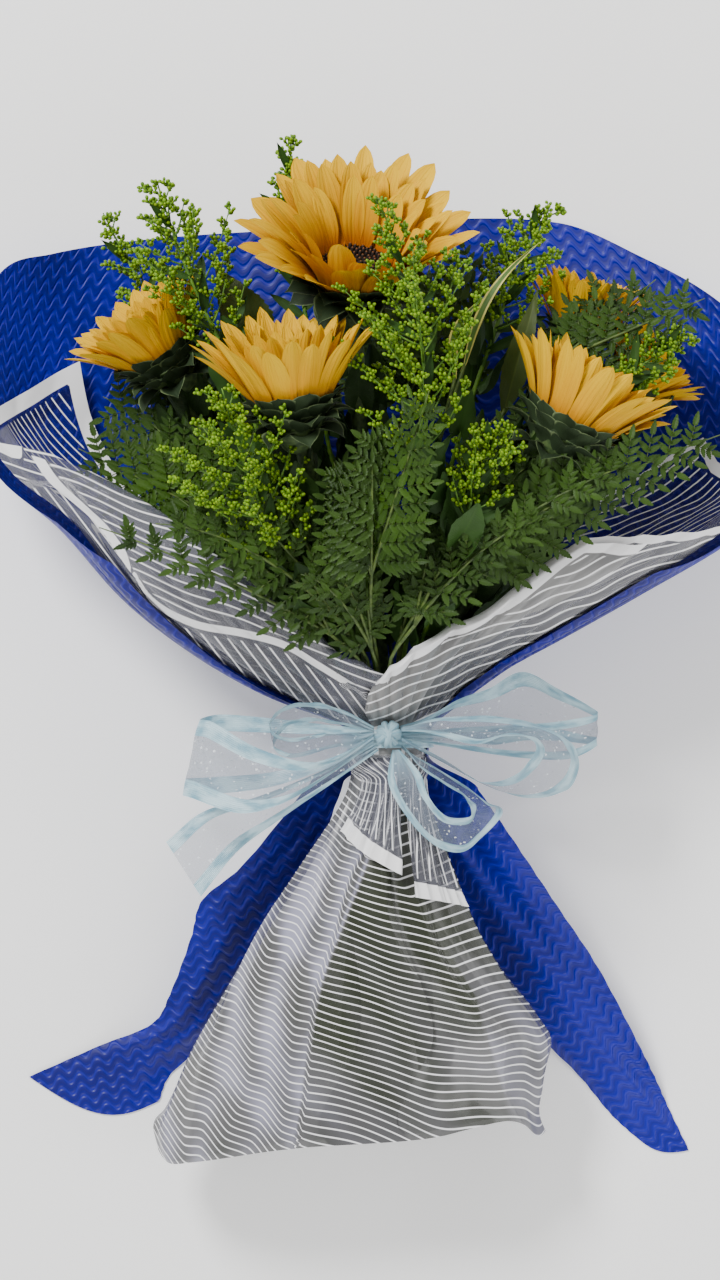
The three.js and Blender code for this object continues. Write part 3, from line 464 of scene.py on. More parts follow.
def skirt_finish():
    """Clear film with white lines: first place 1 on its back wall, third place its painted light and
    shade.
    """
    f = Finish("striped_clear_skirt", Roughness=0.25, Specular_IOR_Level=0.5)
    front = 1 - f.along
    white = printed_line(f, 5.4, 0.14) * (front * 0.75 + 0.25)
    folds = f.noise(f.body(), 20.0, 4.0, "RIDGED_MULTIFRACTAL")
    clouds = f.noise(f.body(), 16.0, 3.0)
    # Painted light and shade, made uneven by the cloud noise.
    light = (f.third + (clouds - 0.5) * 0.7).clamp()
    # Painted shade: dark olive film by the stems inside the skirt; lavender where it is painted lighter.
    clear = f.colour((0.022, 0.027, 0.014), (0.09, 0.09, 0.095), light.ramp(0.0, 0.5))
    clear = f.colour(clear, (0.34, 0.34, 0.46), light.ramp(0.42, 1.0))
    f.set("Base Color", f.colour(clear, (0.9, 0.9, 0.92), white))
    haze = front * (0.44 - light * 0.1) + 0.5
    f.set("Alpha", (white * (0.97 - haze) + haze).clamp())
    f.relief(folds + clouds, 0.002, 0.6)
    return f.material


def ribbon_finish():
    """Sheer cloth with a satin edge on each side, painted glints on the sheer cloth, and painted sheen
    and shade along the satin's ripples. Across runs from 0 to 1, along in mm.
    """
    f = Finish("sheer_ribbon", Roughness=0.35)
    side = abs(f.across - 0.5) * 2
    satin = (side.ramp(0.56, 0.59) + f.third * 0.75).clamp()
    weave = (f.along * 5.2).sine() * (f.across * 310.0).sine()
    # Painted glints: tiny bright spots on the sheer cloth.
    glints = f.node("TexVoronoi", {}, {"Vector": f.body(), "Scale": 900.0}, "Color")
    painted_glint = f.node("SeparateColor", {}, [glints]).ramp(0.965, 0.985)
    ripple = f.noise(f.join(f.along * 0.012, f.across * 1.2), 5.0, 3.0)
    # Painted sheen and shade: the satin lighter and darker along the same ripples as its bumps.
    shade = f.colour((0.16, 0.36, 0.47), (0.5, 0.72, 0.8), ripple.ramp(0.32, 0.66))
    sheer = f.colour((0.21, 0.26, 0.35), (0.85, 0.9, 0.94), (weave * 0.25 + painted_glint).clamp())
    f.set("Base Color", f.colour(sheer, shade, satin))
    f.set("Alpha", (satin * 0.58 + 0.4 + weave * 0.06 + painted_glint * 0.5).clamp())
    f.set("Roughness", 0.3 + (1 - satin) * 0.2)
    f.relief((f.across * 240.0).sine() * 0.2 + ripple * 2.0, 0.0009, 0.6)
    return f.material


PETAL = petal_finish()
FLORET = floret_finish()
CALYX = green_finish("sunflower_calyx", (0.008, 0.02, 0.006), (0.032, 0.055, 0.02), (0.17, 0.23, 0.1),
                     0.7, 0.03)
STALK = twig_finish("sunflower_stalk", (0.02, 0.045, 0.012), (0.08, 0.13, 0.035))
LEAFY = green_finish("sunflower_leaf", (0.007, 0.022, 0.004), (0.028, 0.065, 0.01), rough=0.5, rib=0.06)
BUD = bud_finish()
TWIG = twig_finish("goldenrod_twig", (0.05, 0.14, 0.008), (0.12, 0.25, 0.015))
LANCE = green_finish("goldenrod_leaf", (0.008, 0.03, 0.003), (0.035, 0.095, 0.01))
FERN = green_finish("fern_leaflet", (0.006, 0.022, 0.001), (0.045, 0.105, 0.006), rough=0.42)
FROND_RIB = twig_finish("fern_rib", (0.03, 0.06, 0.008), (0.09, 0.14, 0.02))
BLADE = striped_blade_finish()
BROAD = green_finish("broad_leaf", (0.018, 0.035, 0.004), (0.08, 0.115, 0.018), rough=0.5)
BLUE = blue_finish()
COLLAR = collar_finish()
SKIRTING = skirt_finish()
SATIN = ribbon_finish()
RAFFIA = twig_finish("pale_tie", (0.5, 0.42, 0.25), (0.75, 0.68, 0.5))


# --- The wraps' cone ---

REACH = {
    "left": through([(-16, 24.6), (4, 26.5), (27, 77), (48, 113), (81, 155), (126, 197), (156, 233),
                     (200, 258), (260, 268), (320, 262)]),
    "right": through([(-16, 24.6), (4, 26.5), (39, 67), (60, 103), (87, 151), (114, 199), (140, 235),
                      (190, 258), (250, 262), (320, 255)]),
}
DEPTH = through([(-16, 24.6), (4, 26.5), (20, 47), (50, 74), (100, 92), (150, 100), (250, 106)])


def axis_height(y):
    return mix(NECK_HEIGHT, FLARE_HEIGHT, smooth(y / 120))


def cone_point(side, turn, y):
    x = REACH[side](y) * np.sin(np.radians(turn)) * HAND[side]
    return stack(x, y, axis_height(y) - DEPTH(y) * np.cos(np.radians(turn)))


def cone(side, turn, y, inside=0.0):
    """A point of the cone, moved inwards. Turn 0 is at the back and 180 at the front."""
    turn, y = np.broadcast_arrays(np.asarray(turn, float), np.asarray(y, float))
    around = cone_point(side, turn + 1, y) - cone_point(side, turn - 1, y)
    outwards = cone_point(side, turn, y + 1) - cone_point(side, turn, y - 1)
    normal = unit(np.cross(around, outwards)) * HAND[side]
    return cone_point(side, turn, y) + normal * np.asarray(inside, float)[..., None]


def level(share, rim):
    """How far along Y a sheet's row lies: share 0 is the rim and 1 the neck."""
    near = np.interp(share, [0.6, 0.7, 0.8, 0.9, 1], [50, 34, 21, 12, 4])
    return np.where(share < 0.6, mix(rim, 50, share / 0.6), near)


def gathers(side, turn, y):
    """Folds that run out from the neck: sharp and close there, broad and soft at the rim."""
    seed = 1.7 if side == "left" else 4.2
    near = smooth((y - 4) / 16) * (1 - smooth((y - 50) / 120))
    far = smooth((y - 50) / 150)
    bend = crumple(turn / 40, y / 90, seed) * 0.5
    return near * 1.9 * crease(turn / 10.5 + bend) + far * 2.4 * crumple(turn / 14, y / 120, seed + 1)


def flat_place(side, turn, y, middle):
    """Where a point of the cone lay on the flat sheet, across and along the line at turn middle."""
    point = cone_point(side, turn, y)
    reach = np.linalg.norm(point - np.array([0, 0, NECK_HEIGHT]), axis=-1)
    angle = np.radians((turn - middle) * 0.7)
    return reach * np.sin(angle), reach * np.cos(angle)


def below(x, soft):
    """x where it is negative and 0 where it is positive, with a soft corner."""
    return (x - np.sqrt(x * x + soft * soft)) / 2


# --- The blue film ---

# rim: the y where the fan ends, by turn. inner, outer: the edges of the tail. lap: how far one fan
# lies over the other at the back. middle_turn: the turn down the middle of the flat film.
# tail_turn: degrees that the pressed rows are turned on the tail. end_bulge: how round its end is.
BLUE_SHEETS = {
    "left": {
        "rim": through([(0, 311), (30, 303), (50, 292), (62, 280), (75, 225), (85, 175), (92, 140),
                        (108, 98)]),
        "inner": [(-27, -30, 50), (-42, -69, 43), (-59, -99, 35), (-77, -129, 25), (-94, -159, 14),
                  (-108, -186, 6), (-134, -210, 1.5), (-140, -225, 0.5)],
        "outer": [(-47, -30, 60), (-89, -81, 52), (-113, -102, 46), (-119, -123, 40),
                  (-132, -158, 26), (-142, -176, 14), (-176, -191, 3), (-219, -210, 0.5)],
        "lap": 2.6, "middle_turn": 22, "tail_turn": 12, "end_bulge": 15,
    },
    "right": {
        "rim": through([(0, 314), (24, 312), (37, 290), (50, 264), (65, 225), (80, 170), (92, 125),
                        (108, 92)]),
        "inner": [(24, -28, 49), (31, -69, 43), (46, -105, 33), (64, -141, 21), (86, -177, 11),
                  (118, -210, 4), (137, -233, 1.5), (151, -246, 0.5)],
        "outer": [(55, -34, 60), (79, -69, 52), (103, -105, 42), (127, -141, 32), (151, -186, 20),
                  (163, -210, 10), (172, -230, 2.5), (184, -255, 0.5)],
        "lap": 0, "middle_turn": 8, "tail_turn": 40, "end_bulge": 5,
    },
}
BLUE_EDGE_TURN = 108
NECK_LOW = -12  # the y where the films leave the neck
FAR = 90  # a distance from the border that is never near


def blue_fan(side, w):
    """The sheet behind the flowers, from its rim to the neck, and its flat places."""
    form = BLUE_SHEETS[side]
    share = np.linspace(0, 1, 96)[:, None]
    turn = mix(BLUE_EDGE_TURN, mix(1.5, -4, smooth((1 - share) * 5)), w)
    y = level(share, form["rim"](np.maximum(turn, 0)))
    lap = form["lap"] * smooth((22 - turn) / 12)
    ruffle = 2 * smooth((1 - share) * 1.5) * np.sin(np.radians(turn * 7)) * smooth((turn - 25) / 25)
    free = smooth((turn - 12) / 20)
    fan = cone(side, turn, y, lap + ruffle + gathers(side, turn, y) * free)
    fan[..., 2] = np.maximum(fan[..., 2], 0.5 + lap)
    u, v = flat_place(side, turn, y, form["middle_turn"])
    return fan, stack(u, v, 0.0)


def blue_tail(side, w):
    """The tail below the neck, in soft folds, with scalloped edges and a bulging end."""
    form, hand = BLUE_SHEETS[side], HAND[side]
    t = np.linspace(0, 1, 110)
    outer, inner = edge_curve(form["outer"], t), edge_curve(form["inner"], t)
    tail = mix(outer[:, None], inner[:, None], w[..., None])
    t = t[:, None]
    swell = smooth(t * 5) * (1 - smooth(t * 1.1)) * 4 * np.sin(w * 2 * math.pi)
    folds = smooth(t * 6) * smooth((1 - t) * 3) * 3.2 * crumple(w * 5 + 2, t * 4, 3 + hand)
    tail[..., 2] += swell + folds + 5 * smooth(t * 4) * smooth((1 - t) * 4) * np.sin(w * math.pi)
    scallop = 0.5 * np.abs(np.sin(t * math.pi * 19)) * (np.abs(w - 0.5) * 2) ** 8
    bulge = smooth((t - 0.8) / 0.2) * np.sin(w * math.pi) * form["end_bulge"]
    tail[..., 0] += (scallop * np.sign(0.5 - w) - bulge * 0.25) * hand
    tail[..., 1] -= bulge
    return tail


def blue_sheet(side):
    """A fan behind the flowers, gathered at the neck, with a long tail below it."""
    w = np.linspace(0, 1, 121)[None, :]
    fan, fan_places = blue_fan(side, w)
    tail = blue_tail(side, w)
    ring = cone(side, mix(BLUE_EDGE_TURN, 1.5, w), NECK_LOW)
    join = np.linspace(0, 1, 14)[1:-1, None, None]
    swing = mix(ring, tail[:1], smooth(join))
    swing[..., 1] = mix(ring[..., 1], tail[0, :, 1], join[..., 0])
    lower = np.vstack([ring, swing, tail])
    lower[..., 2] = np.maximum(lower[..., 2], 0.4)
    turn = math.radians(BLUE_SHEETS[side]["tail_turn"])
    lower_places = stack(lower[..., 0] * math.cos(turn) + lower[..., 1] * math.sin(turn),
                         lower[..., 1] * math.cos(turn) - lower[..., 0] * math.sin(turn), 0.0)
    piece = Piece()
    piece.sheet(np.vstack([fan, lower]), np.vstack([fan_places, lower_places]))
    return piece.make(f"blue_sheet_{side}", [BLUE], f"blue_film_{side}")


# --- The striped clear film ---

SKIRT = {
    "left": through([(-256, -138), (-246, -141), (-225, -134), (-195, -121), (-159, -101), (-117, -77),
                     (-81, -53), (-39, -26), (-18, -21.5), (10, -21.5)]),
    "right": through([(-256, 96), (-240, 92), (-225, 94), (-189, 97), (-141, 68), (-108, 50),
                      (-69, 34), (-39, 24), (-18, 21.5), (10, 21.5)]),
    "top": through([(-256, 103), (-180, 104), (-110, 109), (-60, 106), (-18, 96.5), (10, 96.5)]),
    "bottom": through([(-256, 0.4), (-215, 0.4), (-150, 16), (-75, 41), (-18, 53.5), (10, 53.5)]),
}


def skirt_wall(turn, y, outside=0.0):
    """A point of the skirt's wall: turn 0 is at the back, 90 on the left and 180 on top."""
    left, right, top, bottom = (SKIRT[k](y) for k in ("left", "right", "top", "bottom"))
    half_width = (right - left) / 2 + outside
    half_depth = (top - bottom) / 2 + outside
    return stack((left + right) / 2 - half_width * np.sin(np.radians(turn)), y,
                 (top + bottom) / 2 - half_depth * np.cos(np.radians(turn)))


def edge_distance(grid, side):
    """How far each point of a sheet lies from one of its edges, in mm."""
    if side in ("first", "last"):
        steps = np.linalg.norm(np.diff(grid, axis=1), axis=-1)
        far = np.hstack([np.zeros((grid.shape[0], 1)), np.cumsum(steps, axis=1)])
        return far if side == "first" else far[:, -1:] - far
    steps = np.linalg.norm(np.diff(grid, axis=0), axis=-1)
    far = np.vstack([np.zeros((1, grid.shape[1])), np.cumsum(steps, axis=0)])
    return far if side == "top" else far[-1:] - far


# The y at which the left lapel is rolled, by x.
CREASE = through([(-190, 152), (-170, 124), (-154, 100), (-142, 81), (-117, 67), (-87, 61), (-62, 54),
                  (-42, 42), (-12, 24), (20, 10)])
# back, fold, lapel: the turns by y where the film begins at the back, where it folds, and where its
# lapel ends. rim: the y where it ends above, by turn. closing: how much further it comes round by
# the knot. over: how far it lies over the other film. mist_and_reflection: how misty and light it is
# in front, partly the milkiness of doubled film and partly a painted reflection. low_turns, low_y,
# slant: the turns of its low end, that end's y, and what is added to the y from back to front.
COLLARS = {
    "left": {
        "back": lambda y: 46 + 0 * y,
        "rim": through([(46, 226), (60, 206), (75, 192), (90, 182), (105, 172), (118, 166),
                        (128, 153)]),
        "fold": lambda y: np.minimum(128 + np.maximum(153 - y, 0) * 0.33, 168),
        "lapel": lambda y: 117 + 0 * y,
        "closing": 24, "over": lambda y: -0.6, "seed": 10, "mist_and_reflection": 0.62,
        "low_turns": (141, 196), "low_y": -72, "slant": (14, -12),
    },
    "right": {
        "back": lambda y: mix(31, 50, np.clip((y - 132) / 47, 0, 1)),
        "rim": through([(31, 132), (50, 179), (54, 165), (70, 148), (85, 135), (100, 125), (120, 115),
                        (145, 114)]),
        "fold": through([(40, 170), (51, 167), (64, 157), (75, 150), (102, 146), (114, 143)]),
        "lapel": lambda y: mix(150, 128, np.clip((y - 40) / 60, 0, 1)),
        "closing": 30, "over": lambda y: smooth((y - 4) / 12) * 2.5, "seed": 11, "mist_and_reflection": 0.85,
        "low_turns": (115, 154), "low_y": -104, "slant": (0, 6),
    },
}
FLAT, BEND, LAPEL = 84, 6, 30  # columns out to the fold, round it, and back along the lapel


def collar_turn(side, column, y):
    """Where each column lies on the cone. Column 0 to 1 is flat, 1 to 2 the fold, 2 to 3 the lapel."""
    form = COLLARS[side]
    fold = form["fold"](y) + form["closing"] * smooth((52 - y) / 40)
    flat_turn = mix(form["back"](y), fold, np.clip(column, 0, 1))
    lapel_turn = mix(fold, form["lapel"](y), np.clip(column - 2, 0, 1))
    nose = np.sin(np.clip(column - 1, 0, 1) * math.pi) * 60 / REACH[side](y)
    return np.where(column <= 1, flat_turn, lapel_turn) + nose


def closed_front(turn, y):
    """1 where the two collars meet, above the knot."""
    return smooth((turn - 150) / 20) * smooth((60 - y) / 40)


def collar_wall(side, turn, y, column):
    """The film against the inside of the cone, and lifted off it where it is folded back."""
    form = COLLARS[side]
    raised = np.clip(column - 1, 0, 1)
    inside = mix(2.1, 6, smooth((y - 4) / 30)) + 4 * smooth((y - 90) / 40)
    inside = inside * (1 - 0.5 * np.exp(-((turn - 102) / 14) ** 2) * smooth((y - 20) / 20))
    lift = raised * mix(1.6, 7, smooth((y - 4) / 80))
    wave = smooth((y - 60) / 80) * (1.3 * crumple(turn / 16, y / 60, 8) + 0.5 * crease(turn / 9 + y / 50))
    free = smooth((column - 2) * 2) * smooth((y - 20) / 60) * 2.2 * crumple(turn / 11, y / 34, 5)
    closed = closed_front(turn, y)
    puff = closed * smooth((y - 4) / 14) * 1.8 * crumple(turn / 9, y / 9, form["seed"])
    return cone(side, turn, y, inside - lift + gathers(side, turn, y) - wave - np.maximum(free, -1)
                - closed * form["over"](y) - np.maximum(puff, 0))


def collar_stripes(side, wall, turn, y, raised):
    """The place of each point across the printed lines: round the cone, or along Y in front."""
    around, _ = flat_place(side, turn, y, 88)
    folded = wall[..., 1] - wall[..., 0] * 0.36 * HAND[side] + 2.5 * crumple(wall[..., 0] / 22, y / 30, 2)
    if side == "left":
        under = CREASE(wall[..., 0]) - wall[..., 1]
        folded = mix(folded, wall[..., 1] * 0.6 + wall[..., 0] * 0.8, smooth(under / 2))
    facing = smooth((turn - 70) / 16)
    return mix(around, folded, np.maximum(np.maximum(raised, closed_front(turn, y)), facing))


def collar_end(side, start, column):
    """The film's pleated end below the knot, over the skirt, and its places across the lines."""
    form = COLLARS[side]
    raised = np.clip(column - 1, 0, 1)
    down = np.linspace(0, 1, 46)[:, None] ** 1.5
    share = np.where(column > 2, 1 - np.clip(column - 2, 0, 1) * 0.5, np.minimum(column, 1.02))
    low_y = form["low_y"]
    y = mix(-14, low_y + mix(*form["slant"], share), down)
    turn = mix(start, mix(*form["low_turns"], share), smooth((NECK_LOW - y) / 16))
    outside = np.interp(-y, [14, 17, 20, 24, 28, -low_y], [2.2, 2.5, 2.9, 3.3, 3.6, 6])
    pleat = smooth(down * 3) * 1.1 * crease(share * 5 + down)
    end = skirt_wall(turn if side == "left" else 360 - turn, y, outside + raised * 1.55 + pleat)
    return end, share * 46 + raised * 9 + end[..., 1] * 0.12 * raised


def collar_border(side, grid, rim_turn):
    """How near each point lies to a white border: the film's edges and its rolled fold."""
    x, y = grid[..., 0], grid[..., 1]
    rim, first = edge_distance(grid, "top"), edge_distance(grid, "first")
    if side == "left":
        rim = rim + 14 * smooth((rim_turn - 108) / 6)
        free_edge = edge_distance(grid, "last") + 12 * smooth((112 - y) / 20)
        roll = np.abs(CREASE(x) - y) + np.where((y > 30) & (y < 98), 7.4, FAR)
        front = np.minimum(free_edge, roll)
    else:
        bend = first[:, FLAT + BEND:FLAT + BEND + 1]
        front = np.where(y > 30, np.abs(first - bend) + 3.2, FAR)
    back = np.where(y > 20, first, FAR)
    return np.min([rim, edge_distance(grid, "bottom"), back, front], axis=0)


def collar(side):
    """Clear film inside the blue, round the side to the front, and folded back as a lapel."""
    column = np.concatenate([np.linspace(0, 1, FLAT), 1 + np.linspace(0, 1, BEND + 2)[1:-1],
                             2 + np.linspace(0, 1, LAPEL)])[None, :]
    raised = np.clip(column - 1, 0, 1)
    share = np.linspace(0, 1, 100)[:, None]
    rim = COLLARS[side]["rim"]
    rim_turn = collar_turn(side, column, rim(110.0) + 0 * share)
    turn = collar_turn(side, column, level(share, rim(rim_turn)))
    y = level(share, rim(turn))
    wall = collar_wall(side, turn, y, column)
    stripes = collar_stripes(side, wall, turn, y, raised)
    neck = cone(side, turn[-1:], NECK_LOW, 1.9 - raised * 1.55)
    end, end_stripes = collar_end(side, turn[-1:], column)
    grid = np.vstack([wall, neck, end])
    # Mist and painted reflection where the film is folded back, where it closes in front, and round the
    # side and front, where the painted reflection also lightens the shadow by the blue's edge.
    folded = np.maximum(np.maximum(raised, closed_front(turn, y)), smooth((turn - 70) / 16) * 0.8)
    mist_and_reflection = mix(0.12, COLLARS[side]["mist_and_reflection"], folded)
    mist_and_reflection = np.vstack([mist_and_reflection, mist_and_reflection[-1:], np.full(end.shape[:2], 0.55)])
    stripes = np.vstack([stripes, stripes[-1:], end_stripes])
    piece = Piece()
    piece.sheet(grid, stack(mist_and_reflection, stripes, collar_border(side, grid, turn[:1])))
    return piece.make(f"clear_collar_{side}", [COLLAR], f"clear_film_{side}")


# By y, the x of the lap's edge and of the ridge beside it, and by x how far the hem is drawn up.
SKIRT_EDGE = through([(-256, -55), (-153, -41), (-111, -26), (-66, -9.6), (2, 2)])
SKIRT_HEM = through([(-142, 8), (-134, -3), (-120, -3), (-60, 6), (20, 12), (70, 22), (82, 20),
                     (92, 12), (98, 18)])
SKIRT_RIDGE = ((-256, -160, -106, -58, 2), (72, 51, 20, -16, -18))
SKIRT_OVERLAP = 24  # degrees in which the film lies over itself


def skirt_waves(turn, y, opened):
    """Folds out of the wall: fine pleats by the knot, broad folds and ripples lower down."""
    near_neck = smooth((-y - 16) / 30) * (1 - smooth((-y - 70) / 110))
    high = smooth(1.4 - np.abs((turn % 360) - 180) / 70)
    wave = opened * high * 5 * np.sin(np.radians(turn * 5 + y * 0.9))
    wave = wave + near_neck * 1.5 * crease(turn / 24 + crumple(turn / 60, y / 60, 2) * 0.4)
    broad = crease(turn / 52 + y / 260 + crumple(turn / 80, y / 90, 6) * 0.35)
    wave = wave + opened * 3.4 * broad * high
    return wave + opened * 1.5 * crumple(turn / 9, y / 30, 9) * smooth((-y - 90) / 80)


def skirt_zigzag(x, y):
    """Folds beside the lap's edge, 0 to 0.5, sharp and rounded by turns."""
    beside = (SKIRT_EDGE(y) - x) / 26 + 0.22 * crumple(x / 40, y / 50, 15)
    zigzag = np.abs(beside % 1 - 0.5) * 0.5 + 0.125 + 0.125 * np.cos(2 * math.pi * beside)
    return zigzag * smooth(beside * 8) * smooth((-40 - y) / 40)


def skirt_lines(x, y, opened):
    """The place of each point across the printed lines, which bend at the ridge and at the lap."""
    ridge, edge = np.interp(y, *SKIRT_RIDGE), SKIRT_EDGE(y)
    soft = 1.5 + 9 * smooth((-150 - y) / 60)
    bent = y + 0.38 * below(x - ridge, soft) + 0.32 * below(ridge - x, soft) + 0.5 * below(x - edge, 2)
    return (bent - 11 * skirt_zigzag(x, y) + 3 * opened * crumple(x / 32, y / 60, 3)
            + 0.1 * np.maximum(-170 - y, 0) * smooth((x + 20) / 60))


def skirt_painted_light(x, y, opened):
    """How light the film is painted: painted shade darkens it by the knot, among the stems, and it is
    lighter below. Over the lap, where it lies doubled, it is lighter still, with painted light and
    shade on its folds and a painted highlight along the lap's edge.
    """
    ridge, edge = np.interp(y, *SKIRT_RIDGE), SKIRT_EDGE(y)
    low = smooth((-150 - y) / 70)
    right = mix(0.06, 0.55, smooth((-110 - y) / 50))
    # Painted shade: dark by the knot and down the middle, lighter below and right of the ridge.
    light = mix(mix(0.02, 0.36, low), right, smooth((x - ridge) / 4))
    # Over the lap the film lies doubled and is lighter, with painted light and shade on its zigzag folds.
    light = mix(light, 0.45 + 0.9 * skirt_zigzag(x, y), smooth((edge - x) / 2) * mix(1, 0.55, low))
    # Painted highlight along the lap's edge.
    light = light + 0.8 * np.exp(-((x - edge) / 1.2) ** 2) * (1 - low)
    # Painted light and shade on the crumpled folds.
    return light + 0.16 * opened * crumple(x / 16 + y / 50, y / 44, 12)


def skirt():
    """Clear film round the stems, lapped over itself along a line down its front."""
    y = np.concatenate([np.linspace(2, -60, 30), np.linspace(-62, -256, 100)])[:, None]
    left, right = SKIRT["left"](y), SKIRT["right"](y)
    aside = ((left + right) / 2 - SKIRT_EDGE(y)) / (left - right) * 2
    start = 180 - np.degrees(np.arcsin(np.clip(aside, -0.98, 0.98)))
    w = np.linspace(0, 1, 400)[None, :]
    turn = start - SKIRT_OVERLAP + (360 + SKIRT_OVERLAP) * w
    opened = smooth((-y - 20) / 130)
    lapped = 1.4 * smooth((0.09 - w) / 0.02) * smooth((-y - 8) / 14)
    wall = skirt_wall(turn, y, np.maximum(skirt_waves(turn, y, opened), -4) - lapped)
    wall[..., 2] = np.maximum(wall[..., 2], 0.4)
    x = wall[..., 0]
    wall[..., 1] += SKIRT_HEM(x) * smooth((-140 - y) / 116)
    back = np.cos(np.radians(turn)) > 0
    piece = Piece()
    piece.sheet(wall, stack(back, skirt_lines(x, y, opened), skirt_painted_light(x, y, opened)))
    return piece.make("clear_skirt", [SKIRTING], "clear_film_skirt")


# --- Stems, bedded side by side in one bundle ---

STEM_END = -190
STEM_LEVELS = [STEM_END, -130, -70, -36, -8, 8, 24, 46, 75, 105, 140, 175, 210]
NECK_TOP = 8  # the y up to which the stems run side by side
STEM_GAP = 0.595
PACKING_ROUNDS = 900  # in the neck
BEDDING_ROUNDS = 120  # above the neck
CROWDING = 10  # how widely the stems are set out before they are packed


def push_apart(p, q, radius_p, radius_q):
    """Move two stems' middles apart where they are too close, the thinner stem further."""
    apart = math.hypot(q[0] - p[0], q[1] - p[1]) or 0.01
    needed = radius_p + radius_q + STEM_GAP
    if apart >= needed:
        return
    share = radius_p / (radius_p + radius_q)
    for k in (0, 1):
        step = (q[k] - p[k]) * (needed - apart) / apart
        p[k] -= step * (1 - share)
        q[k] += step * share


def stem_place(stem, y):
    """Across and up, where the middle of a stem lies at a level: bundled, or on its way to its top."""
    top, aim, slot, slope = stem["top"], stem["aim"], stem["slot"], stem["slope"]
    if y <= NECK_TOP:
        apart = 1 + max(-NECK_TOP - y, 0) / 150
        axis = mix(50, NECK_HEIGHT, float(smooth((y - STEM_END) / -STEM_END)))
        return [slot[0] * apart, axis + slot[1] * apart]
    t = (y - NECK_TOP) / (top[1] - NECK_TOP)
    place = []
    for k, start in enumerate((slot[0], slot[1] + NECK_HEIGHT)):
        turn_in = aim[k * 2] / max(aim[1], 0.4) - slope[k]
        place.append(mix(start, top[k * 2], t) + (t ** 3 - t * t) * turn_in * top[1] * 0.5)
    return place


def bed_stems(stems):
    """The line of every stem, from its cut end through the neck to its head or foliage."""
    pairs = [(a, b) for i, a in enumerate(stems) for b in stems[i + 1:]]
    for stem in stems:
        top = stem["top"]
        stem["slope"] = [top[0] / top[1], (top[2] - NECK_HEIGHT) / top[1]]
        stem["slot"] = [value * CROWDING for value in stem["slope"]]
    for turn in range(PACKING_ROUNDS):
        pull = 0.996 if turn < PACKING_ROUNDS * 0.8 else 1
        for stem in stems:
            stem["slot"][:] = [value * pull for value in stem["slot"]]
        for a, b in pairs:
            push_apart(a["slot"], b["slot"], a["radius"], b["radius"])
    for stem in stems:
        stem["levels"] = [y for y in STEM_LEVELS if stem["foot"] <= y < stem["top"][1] - 12]
        stem["places"] = [stem_place(stem, y) for y in stem["levels"]]
    lean = [stem["radius"] * math.hypot(1, *stem["slope"]) * 1.08 for stem in stems]
    for turn in range(BEDDING_ROUNDS):
        for y in (value for value in STEM_LEVELS if value > NECK_TOP):
            here = [(stem["places"][stem["levels"].index(y)], lean[i])
                    for i, stem in enumerate(stems) if y in stem["levels"]]
            for i, (p, radius_p) in enumerate(here):
                for q, radius_q in here[i + 1:]:
                    push_apart(p, q, radius_p, radius_q)
    for stem in stems:
        line = [(place[0], y, place[1]) for place, y in zip(stem["places"], stem["levels"])]
        stem["line"] = np.array([*line, tuple(stem["top"])])


def rounded(line, radii, steps=5):
    """The same line with more points, rounded, and its radii."""
    shares = np.linspace(0, 1, (len(line) - 1) * steps + 1)
    return edge_curve(line, shares), np.interp(shares, np.linspace(0, 1, len(line)), radii)


# --- Sunflowers ---

# Name, middle of the head, degrees that it faces to the right and up, radius of the disc, length of
# the petals and their angle from the axis, petals in an outer and in an inner row, and how far the
# head has sunk from the line of its stem.
SUNFLOWERS = [
    ("top", (-20, 284, 158), 2, 44, 23, 59, 57, (13, 10), (0, -9)),
    ("front", (-56, 203, 200), -7, 14, 19, 57, 39, (12, 9), (0, -10)),
    ("left", (-139, 224, 118), -34, 14, 18, 46, 40, (11, 8), (6, 0)),
    ("right", (103, 189, 188), 30, 4, 19, 55, 38, (12, 9), (0, -10)),
    ("back", (114, 249, 92), 14, 8, 13, 40, 38, (9, 5), (0, -8)),
    ("far_right", (156, 208, 92), 44, 0, 13, 36, 36, (9, 5), (-12, 0)),
]
PETAL_OUTLINE = ((0, 0.1, 0.3, 0.5, 0.7, 0.86, 0.95, 1), (0.4, 0.68, 0.95, 1, 0.93, 0.68, 0.4, 0.03))
BRACT_OUTLINE = ((0, 0.15, 0.4, 0.6, 0.74, 0.84, 0.92, 1), (0.8, 1, 1, 0.9, 0.62, 0.3, 0.1, 0.01))
# Each row's number of bracts, how far down the cup it stands, its bracts' length, and their angles
# from the flower's axis at the root and at the tip.
BRACT_ROWS = [(11, 0.0, 21, 18, 44), (10, 0.2, 24, 24, 70), (9, 0.42, 24, 34, 96), (7, 0.6, 20, 62, 128)]
LEAF_FORM = grid_form(13, 7, lambda t, s: (
    t, s * math.sin(math.pi * min(t * 0.86 + 0.12, 1)) ** 0.7 * (1 + 0.12 * abs(s) * (1 - t * 6 % 1)),
    0.5 * abs(s) * (1 - t) - 0.9 * t * t + 0.12 * math.sin(t * 9) * abs(s)))


class Sunflower:
    """A flower's measurements and the directions of its head."""

    def __init__(self, name, heart, lean, rise, disc, petal, spread, rows, droop):
        self.name, self.disc, self.petal, self.spread, self.rows = name, disc, petal, spread, rows
        lean, rise = math.radians(lean), math.radians(rise)
        self.axis = np.array([math.sin(lean) * math.cos(rise), math.cos(lean) * math.cos(rise),
                              math.sin(rise)])
        turn = unit(np.array([-self.axis[1], self.axis[0], 0]))
        c, s = self.axis[2], math.hypot(self.axis[0], self.axis[1])
        self.first, self.second = (
            way * c + np.cross(turn, way) * s + turn * np.dot(turn, way) * (1 - c)
            for way in np.eye(2, 3))
        self.cup = disc * 0.75 + 5
        self.stem = {"radius": 5 if disc > 15 else 3.75, "foot": STEM_END,
                     "top": np.array(heart, float) - self.axis * self.cup, "aim": self.axis}
        self.heart = np.array(heart, float) + np.array([*droop, 0.0])

    def out(self, around):
        around = np.asarray(around, float)[..., None]
        return np.cos(around) * self.first + np.sin(around) * self.second


